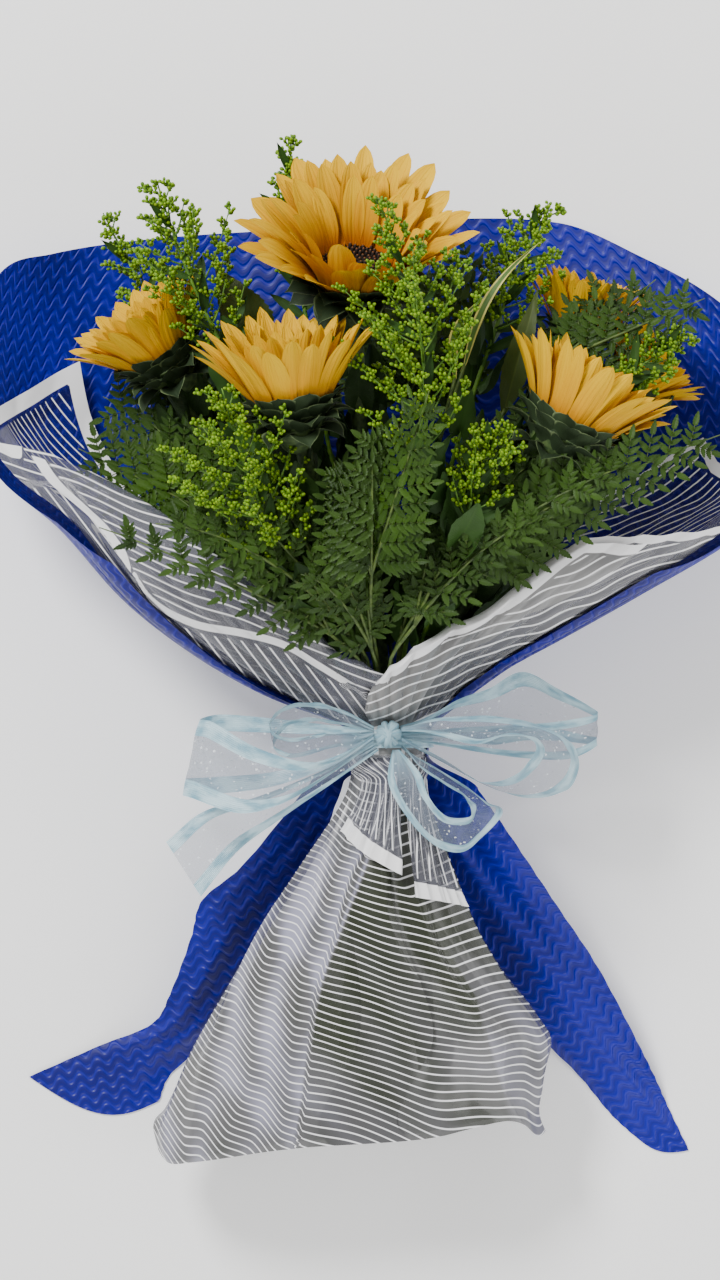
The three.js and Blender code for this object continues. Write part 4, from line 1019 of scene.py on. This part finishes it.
def ray(piece, flower, root, height, around, length, start, end, half, outline, tint, coat=0,
        cup=0.25, twist=0.0, rows=13, columns=7):
    """A petal or bract that bends over from one angle to another, from its root to its tip."""
    t = np.linspace(0, 1, rows)
    angle = np.radians(mix(start, end, t))
    step = length / (rows - 1)
    between = (angle[1:] + angle[:-1]) / 2
    out = root + np.concatenate([[0], np.cumsum(np.sin(between) * step)])
    up = height + np.concatenate([[0], np.cumsum(np.cos(between) * step)])
    outward = flower.out(around)
    side = np.cross(flower.axis, outward)
    spine = flower.heart + out[:, None] * outward + up[:, None] * flower.axis
    face = np.sin(angle)[:, None] * flower.axis - np.cos(angle)[:, None] * outward
    s = np.linspace(-1, 1, columns)
    wide = np.interp(t, *outline) * half
    turn = twist * smooth(t)
    over = side * np.cos(turn)[:, None] + face * np.sin(turn)[:, None]
    back = face * np.cos(turn)[:, None] - side * np.sin(turn)[:, None]
    hollow = wide[:, None] * cup * s[None] ** 2
    grooves = -0.35 * np.cos(s * 1.5 * math.pi)[None] * smooth(t * 4)[:, None] * (wide / half)[:, None]
    grid = (spine[:, None] + (wide[:, None] * s[None])[..., None] * over[:, None]
            + (hollow + grooves)[..., None] * back[:, None])
    piece.sheet(grid, stack(t[:, None], s[None], tint), coat)


def petals(flower, seed):
    """Rows of petals, the outer ones longer and flatter, each a little different."""
    piece = Piece()
    outer, inner = flower.rows
    wide_open = flower.spread > 50
    if wide_open:
        rows = (outer + 8, outer + 6, inner + 6, inner + 3)
    else:
        rows = (outer + 11, outer + 9, inner + 8, inner + 4, inner + 1)
    pulled_up = 33 if wide_open else 14
    for row, count in enumerate(rows):
        for i in range(count):
            n = seed + row * 61 + i * 3
            half = flower.disc * 0.38 * (0.84 + 0.28 * chance(n + 9)) * (1 - 0.04 * row)
            around = (i + row * 0.5 + (chance(n) - 0.5) * 0.5) / count * 2 * math.pi
            facing = max(float(flower.out(around)[2]), 0)
            if wide_open and row > 1 and facing > 0.5:
                continue
            steep = flower.spread - row * 11 + (chance(n + 3) - 0.5) * 10 - facing * pulled_up
            length = flower.petal * (1.02 - row * 0.08) * (0.88 + 0.18 * chance(n + 1))
            ray(piece, flower, flower.disc + 1.8 - row * 0.7, 1.2 + row * 0.8, around, length,
                steep - 10, steep + 8 + (chance(n + 2) - 0.5) * 20, half, PETAL_OUTLINE, chance(n + 5),
                cup=0.12 + 0.2 * chance(n + 6), twist=(chance(n + 7) - 0.5) * 0.55, rows=15, columns=9)
    return piece.make(f"petals_{flower.name}", [PETAL], f"sunflower_{flower.name}_petals")


GOLDEN_ANGLE = 2.39996  # radians from one floret to the next
FLORET_FORM = round_form([(0, 0.7), (0.55, 1), (0.85, 0.75), (1, 0.1)], 5)


def florets(flower):
    """Florets in a spiral over a low dome, the outer ones taller."""
    piece = Piece()
    number = 230 if flower.disc > 15 else 150
    k = np.arange(number)
    far = np.sqrt((k + 0.5) / number)
    out = flower.out(k * GOLDEN_ANGLE)
    dome = 3.4 - 2.2 * (1 - far) ** 2 * 1.4
    origin = flower.heart + out * (far * flower.disc * 0.97)[:, None] + flower.axis * (dome - 2)[:, None]
    lean = unit(flower.axis + out * (0.5 * far - 0.25)[:, None])
    size = mix(2.4, 4.4, smooth(far * 1.2 - 0.1)) * (0.85 + 0.3 * chance(k))
    side = unit(np.cross(lean, out))
    other = np.cross(side, lean)
    piece.copies(FLORET_FORM, origin, lean * size[:, None], side * 1.15, other * 1.15, 0, 1 - far)
    angle = np.linspace(0, 2 * math.pi, 25)[:-1]
    rings = [flower.heart + flower.out(angle) * flower.disc * r + flower.axis * h
             for r, h in ((1, 0.5), (0.98, 1.8), (0.6, 2), (0.1, 1.2))]
    grid = np.array(rings)
    piece.sheet(grid, np.zeros(grid.shape), 0, ring=True)
    return piece.make(f"florets_{flower.name}", [FLORET], f"sunflower_{flower.name}_disc")


def leaves_on(piece, line, number, size, seed, coat):
    """Leaves round the upper part of a stem, pointing up and outwards."""
    k = np.arange(number)
    share = 1 - 0.94 * (k + 0.6) / number
    line, _ = rounded(line, np.zeros(len(line)), 6)
    line = line[line[:, 1] > 44]
    if len(line) < 3:
        return
    at = (share * (len(line) - 2)).astype(int)
    along = unit(line[at + 1] - line[at])
    turn = k * GOLDEN_TURN + seed
    across = unit(np.cross(along, [0, 0.0, 1.0]))
    out = across * np.cos(turn)[:, None] + np.cross(along, across) * np.sin(turn)[:, None]
    way = unit(out * 0.75 + along)
    side = unit(np.cross(way, out - way * 0.3))
    up = np.cross(side, way)
    length = (size * (0.7 + 0.5 * chance(k + seed)))[:, None]
    piece.copies(LEAF_FORM, line[at], way * length, side * length * 0.24, up * length * 0.35, coat,
                 chance(k + seed + 3))


def stem_and_calyx(flower, seed):
    """The stem with its leaves, the green cup under the head, and the bracts round the cup."""
    piece = Piece()
    stem = flower.stem
    along = [flower.heart - flower.axis * flower.cup * share for share in (0.72, 0.3, 0)]
    line = np.vstack([stem["line"], along])
    radii = [stem["radius"]] * len(stem["line"]) + [flower.disc * 0.55 + 2, flower.disc * 0.95,
                                                    flower.disc + 3]
    piece.tube(*rounded(line, radii), 16, 1)
    for row, (count, down, length, start, end) in enumerate(BRACT_ROWS):
        for i in range(count):
            n = seed + i + row * 20
            ray(piece, flower, flower.disc * (1.1 - row * 0.15), -flower.cup * down - 2,
                (i + row * 0.5 + 0.3 * chance(n + 4)) / count * 2 * math.pi,
                length * flower.disc / 19 * (0.9 + 0.25 * chance(n)), start, end + 20 * chance(n + 7),
                flower.disc * 0.5, BRACT_OUTLINE, chance(n + 2), 0, cup=0.34,
                twist=(chance(n + 3) - 0.5) * 0.25, rows=13, columns=9)
    leaves_on(piece, stem["line"], 14, 48, seed, 2)
    return piece.make(f"calyx_{flower.name}", [CALYX, STALK, LEAFY], f"sunflower_{flower.name}_stem")


# --- Goldenrod ---

# Name, base, tip, reach of the longest twigs, a third of the number of twigs, and the bow to the
# side as a share of the length.
SPRAYS = [
    ("top", (-52, 268, 100), (-58, 362, 96), 20, 5, 0.03),
    ("back_left", (-104, 206, 66), (-172, 316, 64), 26, 6, 0.03),
    ("left", (-96, 226, 142), (-138, 332, 150), 46, 8, 0.03),
    ("middle", (22, 160, 212), (-8, 318, 236), 58, 10, -0.07),
    ("front", (-58, 98, 176), (-98, 206, 230), 54, 9, 0.03),
    ("back_right", (62, 236, 120), (98, 318, 118), 34, 6, 0.03),
    ("far_right", (120, 196, 132), (182, 240, 140), 26, 5, 0.03),
    ("low_right", (46, 128, 205), (66, 184, 216), 34, 5, 0.03),
]
BUDS_ON_SPRIG = 6
BUD_FORM = round_form([(0, 0.25), (0.3, 0.9), (0.6, 1), (0.85, 0.7), (1, 0.12)], 6)
LANCE_FORM = grid_form(7, 3, lambda t, s: (t, s * math.sin(math.pi * min(t * 0.9 + 0.1, 1)) ** 0.8,
                                            0.35 * abs(s) - 1.1 * t * t))


class Growth:
    """A spray, frond or leaf that grows from a base to a tip on its own stem."""

    def __init__(self, name, base, tip, radius, foot):
        self.name = name
        self.base, self.tip = np.array(base, float), np.array(tip, float)
        self.reach = float(np.linalg.norm(self.tip - self.base))
        self.along = unit(self.tip - self.base)
        self.stem = {"radius": radius, "foot": foot, "top": self.base, "aim": self.along}


def spray_ways(spray):
    """Two ways out from a spray's middle line: one level, and one at right angles to it."""
    level_way = unit(np.cross([0, 0, 1.0], spray.along))
    return level_way, np.cross(spray.along, level_way)


def outwards(ways, turn, flat=1.0):
    """The way out at a turn round the spray; below 1, flat presses it towards the level way."""
    turn = np.asarray(turn, float)[..., None]
    return ways[0] * np.cos(turn) + ways[1] * np.sin(turn) * flat


def bowed(spray, bend, t):
    """A point on the spray's middle line, from 0 at its base to 1 at its tip."""
    t = np.asarray(t, float)[..., None]
    return mix(spray.base, spray.tip, t) + spray_ways(spray)[0] * np.sin(t * 3) * spray.reach * bend


def sprig(piece, ways, root, way, length, turn, seed):
    """A short shoot with buds round it. Gives the place, the way and the size of each bud."""
    end = root + way * length
    piece.tube(np.array([root, mix(root, end, 0.5), end]), [0.28, 0.22, 0.18], 3, 1)
    buds = []
    for k in range(BUDS_ON_SPRIG):
        place = mix(root, end, 0.25 + 0.75 * k / (BUDS_ON_SPRIG - 1))
        lean = unit(way + outwards(ways, k * GOLDEN_TURN + turn) * 0.9)
        buds.append((place + lean * 0.7, lean, 2.3 + chance(seed + k * 0.77)))
    return buds


def goldenrod_twig(piece, spray, ways, start, out, reach, seed):
    """A twig that leans out and along the spray, with sprigs along it. Gives their buds."""
    share = np.linspace(0, 1, 9)[:, None]
    droop = np.sin(share * math.pi) * reach * 0.1
    line = start + out * reach * share + spray.along * (reach * 1.05 * share ** 1.3) + droop * ways[1]
    piece.tube(line, np.linspace(0.65, 0.3, 9), 4, 1)
    buds = []
    sprigs = max(int(reach / 3.0), 4)
    for k in range(sprigs):
        n = seed * 3.7 + k * 1.9
        where = 0.22 + 0.78 * (k + 0.5) / sprigs
        before = int(where * 8)
        root = mix(line[before], line[min(before + 1, 8)], where * 8 % 1)
        turn = k * 2.1 + chance(n)
        way = unit(out * 0.3 + spray.along * 0.75 + outwards(ways, turn) * 0.9)
        length = mix(8.5, 3.5, where) * (0.7 + 0.6 * chance(n + 1))
        buds += sprig(piece, ways, root, way, length, turn, n)
    return buds


def lances(piece, spray, ways, bend):
    """Narrow leaves round the stem's end and the lower spray."""
    t = np.linspace(-0.3, 0.75, 12)
    on_stem = spray.base + (spray.base - spray.stem["line"][-2]) * t[:, None]
    roots = np.where(t[:, None] > 0, bowed(spray, bend, np.maximum(t, 0)), on_stem)
    turn = np.arange(12) * GOLDEN_TURN
    out = outwards(ways, turn, 0.7)
    way = unit(out + spray.along * 0.8)
    length = mix(34, 16, np.clip(t, 0, 1))[:, None] * (0.8 + 0.4 * chance(turn))[:, None]
    side = unit(np.cross(way, ways[1] + out * 0.01))
    piece.copies(LANCE_FORM, roots, way * length, side * length * 0.11,
                 np.cross(side, way) * length * 0.2, 2, chance(turn + 3))


def goldenrod(spray, spread, twigs, bend, seed):
    """A bowed spray: twigs all round it, sprigs on the twigs and buds on the sprigs."""
    piece = Piece()
    ways = spray_ways(spray)
    stem = spray.stem["line"]
    spine = np.vstack([stem[:-1], bowed(spray, bend, np.linspace(0, 1, 8))])
    radii = np.concatenate([np.full(len(stem) - 1, 1.5), np.linspace(1.5, 0.5, 8)])
    piece.tube(*rounded(spine, radii, 4), 6, 1)
    buds = []
    total = twigs * 3
    for i in range(total):
        n = seed + i * 5
        t = 0.04 + 0.92 * i / total
        out = outwards(ways, i * GOLDEN_TURN + chance(n) * 0.8, 0.8)
        fullness = 0.2 + 0.7 * math.sin(math.pi * min(t + 0.22, 1))
        reach = spread * fullness * (0.66 + 0.4 * chance(n + 1))
        buds += goldenrod_twig(piece, spray, ways, bowed(spray, bend, t), out, reach, n)
    places, leans, sizes = (np.array(values) for values in zip(*buds))
    sizes = sizes[:, None]
    side = unit(np.cross(leans, ways[0] + 0.1))
    piece.copies(BUD_FORM, places, leans * sizes, side * sizes * 0.4,
                 np.cross(side, leans) * sizes * 0.4, 0, chance(np.arange(len(buds)) + seed))
    leaves_on(piece, stem, 13, 36, seed, 2)
    lances(piece, spray, ways, bend)
    return piece.make(f"spray_{spray.name}", [BUD, TWIG, LANCE], f"goldenrod_{spray.name}")


# --- Fern ---

# Name, base, tip, height of the arch, length of the longest side shoots, pairs of shoots before more
# are set between, degrees of roll, and how far the tip is drawn towards the heads.
FRONDS = [
    ("left", (-60, 110, 112), (-186, 172, 128), 14, 46, 8, 10, 0),
    ("left_low", (-34, 60, 160), (-172, 112, 188), 22, 19, 6, -20, 12),
    ("left_front", (-34, 74, 168), (-138, 92, 212), 16, 21, 6, 20, 34),
    ("middle", (-10, 96, 190), (24, 204, 246), 8, 34, 7, -35, 0),
    ("right", (40, 106, 178), (200, 168, 186), 20, 36, 8, 12, 12),
    ("right_low", (22, 82, 172), (152, 132, 198), 22, 20, 7, -12, 32),
    ("right_front", (16, 66, 176), (98, 92, 214), 12, 18, 6, 10, 38),
    ("bottom", (-10, 52, 150), (-52, 70, 206), 14, 21, 4, 0, 26),
    ("far_right", (103, 225, 131), (190, 262, 130), 8, 26, 5, 0, 0),
    ("far_left", (-76, 150, 92), (-172, 204, 84), 8, 44, 7, 0, 0),
    ("back", (10, 200, 66), (60, 296, 58), 8, 44, 6, 0, 0),
]
LEAFLET_EDGE = (0.4, 0.86, 0.74, 1.0, 0.8, 0.94, 0.66, 0.72, 0.42, 0.4, 0.03)
LEAFLET_FORM = grid_form(11, 3, lambda t, s: (t, s * LEAFLET_EDGE[round(t * 10)],
                                             0.3 * abs(s) * (1 - t) - 0.25 * t * t))


def fern(frond, arch, width, pairs, roll, lift, seed):
    """A fern stem with its main frond and two smaller ones that lie behind it."""
    piece = Piece()
    hand = 1 if frond.tip[0] > frond.base[0] else -1
    tip = frond.tip + np.array([0, lift, 0])
    sway = lift * 0.35
    frond_on(piece, frond.base, tip, arch, sway, width, pairs, roll, seed)
    for turn, reach, drop in ((17, 0.8, 12), (36, 0.62, 22)):
        c, s = math.cos(math.radians(turn * hand)), math.sin(math.radians(turn * hand))
        chord = (tip - frond.base) * reach
        chord = np.array([chord[0] * c - chord[1] * s, chord[0] * s + chord[1] * c, chord[2] - drop])
        frond_on(piece, frond.base, frond.base + chord, arch, sway, width * 0.85, pairs - 1, -roll,
                 seed + turn)
    line = frond.stem["line"]
    piece.tube(*rounded(line, np.full(len(line), 1.1), 3), 5, 1)
    return piece.make(f"frond_{frond.name}", [FERN, FROND_RIB], f"fern_{frond.name}")


def shoot(piece, root, way, up, length, seed):
    """A side shoot with leaflets down both its sides and one at its tip. Gives the leaflets."""
    over = unit(np.cross(up, way))
    lobes = max(int(length / 5.2), 3)
    k = np.arange(lobes)
    share = (0.12 + 0.88 * k / lobes)[:, None]
    droop = -0.16 * length * share ** 2 + 1.2 * np.sin(share * 4 + chance(seed + 3) * 6)
    origin = root + way * length * share + up * droop
    size = (length * 0.26 * (1 - 0.6 * share) + 4.4) * (0.85 + 0.3 * chance(k + seed)[:, None])
    tint = chance(seed) * 0.6 + 0.4 * chance(k * 1.3 + seed)
    leaflets = []
    for flip in (-1, 1):
        rise = 0.12 * chance(k + seed + flip)[:, None]
        lean = unit(over * flip + way * (0.55 + 0.5 * share) + up * rise)
        across = unit(np.cross(up, lean))
        leaflets.append((origin, lean * size, across * size * 0.24,
                         np.cross(lean, across) * size * 0.6, tint))
    sunk = up * droop[-1]
    rib = [root, origin[::max(lobes // 3, 1)], root + way * length + sunk]
    piece.tube(np.vstack(rib), 0.4, 3, 1)
    tip = root + way * length * 0.96 + sunk
    leaflets.append((tip, way * 9, over * 2.1, up * 2, np.array([chance(seed)])))
    return leaflets


def frond_on(piece, base, tip, arch, sway, width, pairs, roll, seed):
    """Side shoots in pairs along a rib, each with its own rows of toothed leaflets."""
    chord = tip - base
    forward = unit(chord)
    side = unit(np.cross(forward, [0, 0, 1.0]))
    up = np.cross(side, forward)
    angle = math.radians(roll)
    side, up = (v * math.cos(angle) + np.cross(forward, v) * math.sin(angle) for v in (side, up))

    def rib(t):
        t = np.asarray(t, float)[..., None]
        return base + chord * t + np.array([0, sway * 4, arch * 4]) * t * (1 - t)

    piece.tube(rib(np.linspace(0, 1, 14)), np.linspace(1.1, 0.35, 14), 5, 1)
    leaflets = []
    shoots = round(pairs * 1.35)
    for i in range(shoots):
        for hand in (-1, 1):
            n = seed + i * 2 + hand
            t = 0.05 + 0.9 * (i + (0.25 if hand > 0 else 0)) / shoots
            length = width * (0.2 + 0.84 * (1 - t) ** 0.8) * (0.88 + 0.2 * chance(n))
            way = unit(side * hand + forward * (0.5 + t * 0.4))
            leaflets += shoot(piece, rib(t), way, up, length, n)
    *shapes, tints = zip(*leaflets)
    piece.copies(LEAFLET_FORM, *(np.vstack(values) for values in shapes), 0, np.concatenate(tints))


# --- Long striped blades and broad leaves ---

# Name, base, tip, height of the arch and half the width.
LEAVES = [
    ("striped_blade_right", (46, 222, 152), (92, 296, 150), 10, 2.8),
    ("striped_blade_middle", (40, 214, 160), (58, 262, 178), 8, 3.4),
    ("leaf_left", (-74, 232, 96), (-104, 282, 104), 6, 15),
    ("leaf_right", (70, 196, 132), (90, 268, 140), 6, 8),
]


def leaf(growth, arch, half):
    """A striped blade or a broad leaf on its own stem, arched up and a little wavy."""
    piece = Piece()
    striped = growth.name.startswith("striped")
    radii = np.full(len(growth.stem["line"]), 1.1)
    piece.tube(*rounded(growth.stem["line"], radii, 3), 5, 1)
    t = np.linspace(-0.06, 1, 60)[:, None, None]
    s = np.linspace(-1, 1, 9)[None, :, None]
    side = unit(np.cross(growth.along, [0, 0, 1.0]))
    up = np.cross(side, growth.along)
    spine = mix(growth.base, growth.tip, t) + np.array([0, 0, 1.0]) * arch * 4 * t * (1 - t)
    wide = np.interp(t, [-0.06, 0.12, 0.3, 0.5, 0.72, 1], [0.12, 0.7, 1, 0.9, 0.55, 0.01]) * half
    if striped:
        spine = spine - side * 9 * np.sin(np.clip(t, 0, 1) * math.pi)
    else:
        wide = wide * (1 + 0.1 * np.abs(s) * (1 - (t * 14) % 1))
    wavy = 0.8 * np.sin(t * 20 + s * 2) * np.abs(s)
    grid = spine + side * wide * s + up * (np.abs(s) * wide * 0.3 + wavy)
    piece.sheet(grid, stack(t[..., 0], s[..., 0], 0.4), 0)
    coats = [BLADE if striped else BROAD, FROND_RIB]
    return piece.make(f"{growth.name}_shaped", coats, growth.name)


# --- The tie and the ribbon ---

BAND_RADIUS = 27.6
TIE_RADIUS = 19.7
RAFFIA_TURNS = 7
# Each loop lies between two edges, both drawn from the knot outwards and, but for the tail, back to
# it. The left loops are two, one over the other.
LOOPS = {
    "ribbon_loop_left": (
        [(-8.5, 4, 110), (-28, 5, 103), (-46, 7, 98), (-72, 10, 94), (-104, 12, 98), (-113, 9, 110),
         (-106, 8, 122), (-80, -7, 134), (-51, -16, 136), (-33, -15, 130), (-9, 0, 117)],
        [(-8.5, -3, 108), (-28, -16, 98), (-46, -24, 93), (-72, -32, 90), (-106, -36, 94),
         (-124, -36, 108), (-118, -38, 122), (-88, -47, 132), (-66, -42, 134), (-38, -26, 126),
         (-9, -6, 115)],
        [(-8.5, 5, 112), (-28, 15, 116), (-50, 20, 116), (-66, 15, 112), (-71, 4, 104), (-60, -2, 97),
         (-36, 1, 100), (-9, 0, 108)],
        [(-8.5, 1, 108), (-28, 6, 104), (-50, 7, 100), (-63, 3, 97), (-69, -9, 94), (-58, -14, 92),
         (-34, -8, 96), (-9, -4, 106)]),
    "ribbon_tail_left": (
        [(-9, -5.5, 106), (-40, -22, 92), (-80, -38, 82), (-112, -47, 80), (-134, -65, 82)],
        [(-5.5, -9.5, 107), (-33, -29, 92), (-66, -52, 82), (-90, -70, 78), (-113, -98, 80)]),
    "ribbon_loop_right_upper": (
        [(7.2, 5.2, 108), (22, 10, 115), (40, 20, 117), (62, 28, 112), (81, 38, 104), (102, 28, 96),
         (122, 17, 92), (126, 13, 96), (110, 9, 102), (80, 6, 104), (40, 4, 107), (8.9, 1, 109)],
        [(7.2, 1, 105.4), (22, 0, 98), (40, -2, 94), (62, -6, 89), (84, -4, 85), (104, -4, 85),
         (122, -6, 88), (127, -6, 92), (112, -14, 97), (80, -14, 99), (40, -8, 102), (9, -3, 106.5)]),
    "ribbon_loop_right_front": (
        [(8.2, 3.6, 112), (26, 9, 114), (44, 11, 114), (68, 11, 112), (92, 6, 109), (110, -5, 107),
         (115, -17, 106), (109, -32, 106), (96, -38, 106), (72, -36, 107), (40, -20, 109), (9, -4, 110)],
        [(8.2, 2, 116.4), (20, 2, 124), (32, -1, 131), (54, -6, 138), (70, -1, 142), (84, -1, 145),
         (89, -8, 146), (82, -18, 146), (68, -27, 144), (54, -27, 139), (32, -14, 129), (8.6, -2, 114.6)]),
    "ribbon_loop_right_low": (
        [(2.6, -9.3, 109), (0, -28, 112), (12, -50, 119), (28, -66, 121), (44, -71, 121),
         (56, -62, 120), (69, -47, 116), (62, -41, 100), (42, -28, 97), (20, -15, 99), (8, -8, 103)],
        [(7, -9, 113), (20, -24, 120), (24, -36, 126), (35, -49, 131), (48, -49, 131), (50, -46, 128),
         (49, -42, 120), (46, -38, 108), (34, -30, 103), (18, -18, 104), (8.3, -5.6, 105.5)]),
}


def ribbon_grid(name, upper, lower, seed):
    """A ribbon between its two edges, pinched into pleats at the knot, its places and its area."""
    t = np.linspace(0, 1, 150)[:, None]
    w = np.linspace(0, 1, 21)[None, :]
    grid = mix(edge_curve(upper, t[:, 0])[:, None], edge_curve(lower, t[:, 0])[:, None], w[..., None])
    down = np.gradient(grid, axis=0)
    over = np.gradient(grid, axis=1)
    facing = np.cross(over, down)
    ends = smooth((0.2 - t) / 0.2)
    if name != "ribbon_tail_left":
        ends = np.maximum(ends, smooth((t - 0.8) / 0.2))
    pleat = ends * 1.1 * np.cos(w * 3 * 2 * math.pi) * np.sin(w * math.pi)
    soft = (1 - ends) * 0.9 * crumple(t * 16, w * 4, seed)
    grid = grid + unit(facing) * (pleat + soft)[..., None]
    length = np.concatenate([[0], np.cumsum(np.linalg.norm(np.diff(grid[:, 10], axis=0), axis=1))])
    area = float(np.sum(np.linalg.norm(facing, axis=-1))) / 1e6
    return grid, stack(length[:, None], w, ends ** 2), area


def ribbon(name, edges, seed):
    """One loop or tail of the bow, or two loops that lie one over the other."""
    piece = Piece()
    area = width = tall = 0.0
    for upper, lower in zip(edges[::2], edges[1::2]):
        grid, places, share = ribbon_grid(name, upper, lower, seed)
        piece.sheet(grid, places)
        area += share
        width = max(width, float(np.linalg.norm(np.diff(grid, axis=1), axis=-1).sum(axis=1).max()) / 1000)
        tall += float(places[-1, 0, 0]) / 1000
    made = piece.make(f"{name}_cloth", [SATIN], name)
    min(max(area, 0.31 * width * tall), width * tall)
    return made


def band():
    """Ribbon wound tight round the neck, in narrow folds."""
    angle = np.linspace(0, 2 * math.pi, 97)[:-1]
    y = np.linspace(-8, 3, 23)[:, None]
    folds = 0.35 * np.sin(y * 2.3 + 0.8 * np.sin(angle * 2)) + 0.2 * np.sin(angle * 9 + y)
    out = BAND_RADIUS + folds * smooth((5.5 - np.abs(y + 2.5)) * 1.2)
    grid = stack(out * np.sin(angle), y, NECK_HEIGHT - out * np.cos(angle))
    piece = Piece()
    piece.sheet(grid, stack(angle * BAND_RADIUS, 0.02 + 0.0 * y, 0.0), ring=True)
    return piece.make("ribbon_band_cloth", [SATIN], "ribbon_band")


def knot():
    """Ribbon pulled into a small knot: a core with strands wound over it."""
    around = np.linspace(0, 2 * math.pi, 49)[:-1][None, :]
    polar = np.linspace(0.02, math.pi - 0.02, 25)[:, None]
    middle = np.array([0, 0, NECK_HEIGHT + KNOT_RISE])
    grid = middle + stack(7 * np.sin(polar) * np.cos(around), 6.6 * np.cos(polar),
                          6 * np.sin(polar) * np.sin(around))
    piece = Piece()
    piece.sheet(grid, stack(around, polar, 2.0), ring=True)
    angle = np.linspace(0, 2 * math.pi, 41)
    for strand in range(6):
        tilt = math.radians(strand * 31 + 12)
        over = np.cos(angle) * (6.4 + 0.5 * np.sin(angle * 2 + strand))
        line = middle + stack(over * math.cos(tilt), over * math.sin(tilt), np.sin(angle) * 6.1)
        side = np.array([-math.sin(tilt), math.cos(tilt), 0.0]) * (0.8 * math.sin(strand * 2.2))
        piece.tube(line + side, 1.9 + 0.5 * np.sin(angle * 3 + strand), 10, 0, 2.0)
    return piece.make("ribbon_knot_cloth", [SATIN], "ribbon_knot")


def tie():
    """Strands of raffia wound round the stems."""
    piece = Piece()
    angle = np.linspace(0, 2 * math.pi, 73)
    for strand in range(RAFFIA_TURNS):
        y = -3.9 + strand * 1.3 + 0.3 * np.sin(angle * 3 + strand)
        out = TIE_RADIUS + 0.25 * np.sin(angle * 5 + strand * 2)
        piece.tube(stack(out * np.sin(angle), y, NECK_HEIGHT + out * np.cos(angle)), 0.75, 6, 0)
    return piece.make("raffia_strands", [RAFFIA], "tie")


# --- The bunch ---

flowers = [Sunflower(*row) for row in SUNFLOWERS]
sprays = [Growth(name, base, tip, 1.5, -70) for name, base, tip, *_ in SPRAYS]
fronds = [Growth(name, base, tip, 1.1, -36) for name, base, tip, *_ in FRONDS]
leaves = [Growth(name, base, tip, 1.1, -36) for name, base, tip, *_ in LEAVES]
bed_stems([thing.stem for thing in (*flowers, *sprays, *fronds, *leaves)])

for hand in ("left", "right"):
    blue_sheet(hand)
    collar(hand)
skirt()
tie()
band()
knot()
for number, (name, edges) in enumerate(LOOPS.items()):
    ribbon(name, edges, number)
for number, flower in enumerate(flowers):
    petals(flower, number * 100)
    florets(flower)
    stem_and_calyx(flower, number * 100)
for number, (spray, row) in enumerate(zip(sprays, SPRAYS)):
    goldenrod(spray, *row[3:], number * 100)
for number, (frond, row) in enumerate(zip(fronds, FRONDS)):
    fern(frond, *row[3:], number * 100)
for growth, row in zip(leaves, LEAVES):
    leaf(growth, *row[3:])


# --- The room ---

FLOOR_REACH = 9
FLOOR_LEVEL = -0.0006
LAMP_AIM = (0, 0, 0.1)
CAMERA_HEIGHT = 7
LENS_PER_METRE = 140 / 3  # keeps the bunch as large in the picture at any height
PICTURE_MIDDLE = [-16.8, 57, 100]


def floor():
    mesh = bpy.data.meshes.new("floor")
    low, high = -FLOOR_REACH, FLOOR_REACH
    corners = [(low, low), (high, low), (high, high), (low, high)]
    mesh.from_pydata([(*corner, FLOOR_LEVEL) for corner in corners], [], [(0, 1, 2, 3)])
    f = Finish("floor", Roughness=0.8, Emission_Color=(1, 1, 1, 1), Emission_Strength=0.22)
    f.set("Base Color", f.colour((0.92, 0.92, 0.92), (0.95, 0.95, 0.95), f.noise(f.body(), 3.0)))
    mesh.materials.append(f.material)
    in_scene("floor", mesh)


def lamp(name, place, size, power):
    """A round soft lamp, in metres and watts, that looks at the bunch."""
    light = bpy.data.lights.new(name, "AREA")
    light.shape = "DISK"
    light.size = size
    light.energy = power
    thing = in_scene(name, light)
    thing.location = place
    way = Vector(LAMP_AIM) - Vector(place)
    thing.rotation_euler = way.to_track_quat("-Z", "Y").to_euler()


def room():
    floor()
    world = bpy.data.worlds.new("room")
    bpy.context.scene.world = world
    world.use_nodes = True
    sky = world.node_tree.nodes["Background"].inputs
    sky["Color"].default_value = (1, 0.99, 0.97, 1)
    sky["Strength"].default_value = 0.7
    lamp("key", (-1.1, 1.3, 2.0), 0.8, 78)
    lamp("fill", (1.8, -0.6, 1.4), 1.6, 18)
    lamp("low", (0.2, -2.0, 1.0), 1.2, 14)


def camera():
    """It looks straight down on the bunch, with the flower heads at the top of the picture."""
    data = bpy.data.cameras.new("camera")
    data.sensor_fit = "VERTICAL"
    data.sensor_height = 36
    data.lens = LENS_PER_METRE * CAMERA_HEIGHT
    data.clip_end = 50
    thing = in_scene("camera", data)
    thing.location = (np.array(PICTURE_MIDDLE) + SHIFT) / 1000 + np.array([0, 0, CAMERA_HEIGHT])
    thing.rotation_euler = (0, 0, 0)
    bpy.context.scene.camera = thing


room()
camera()
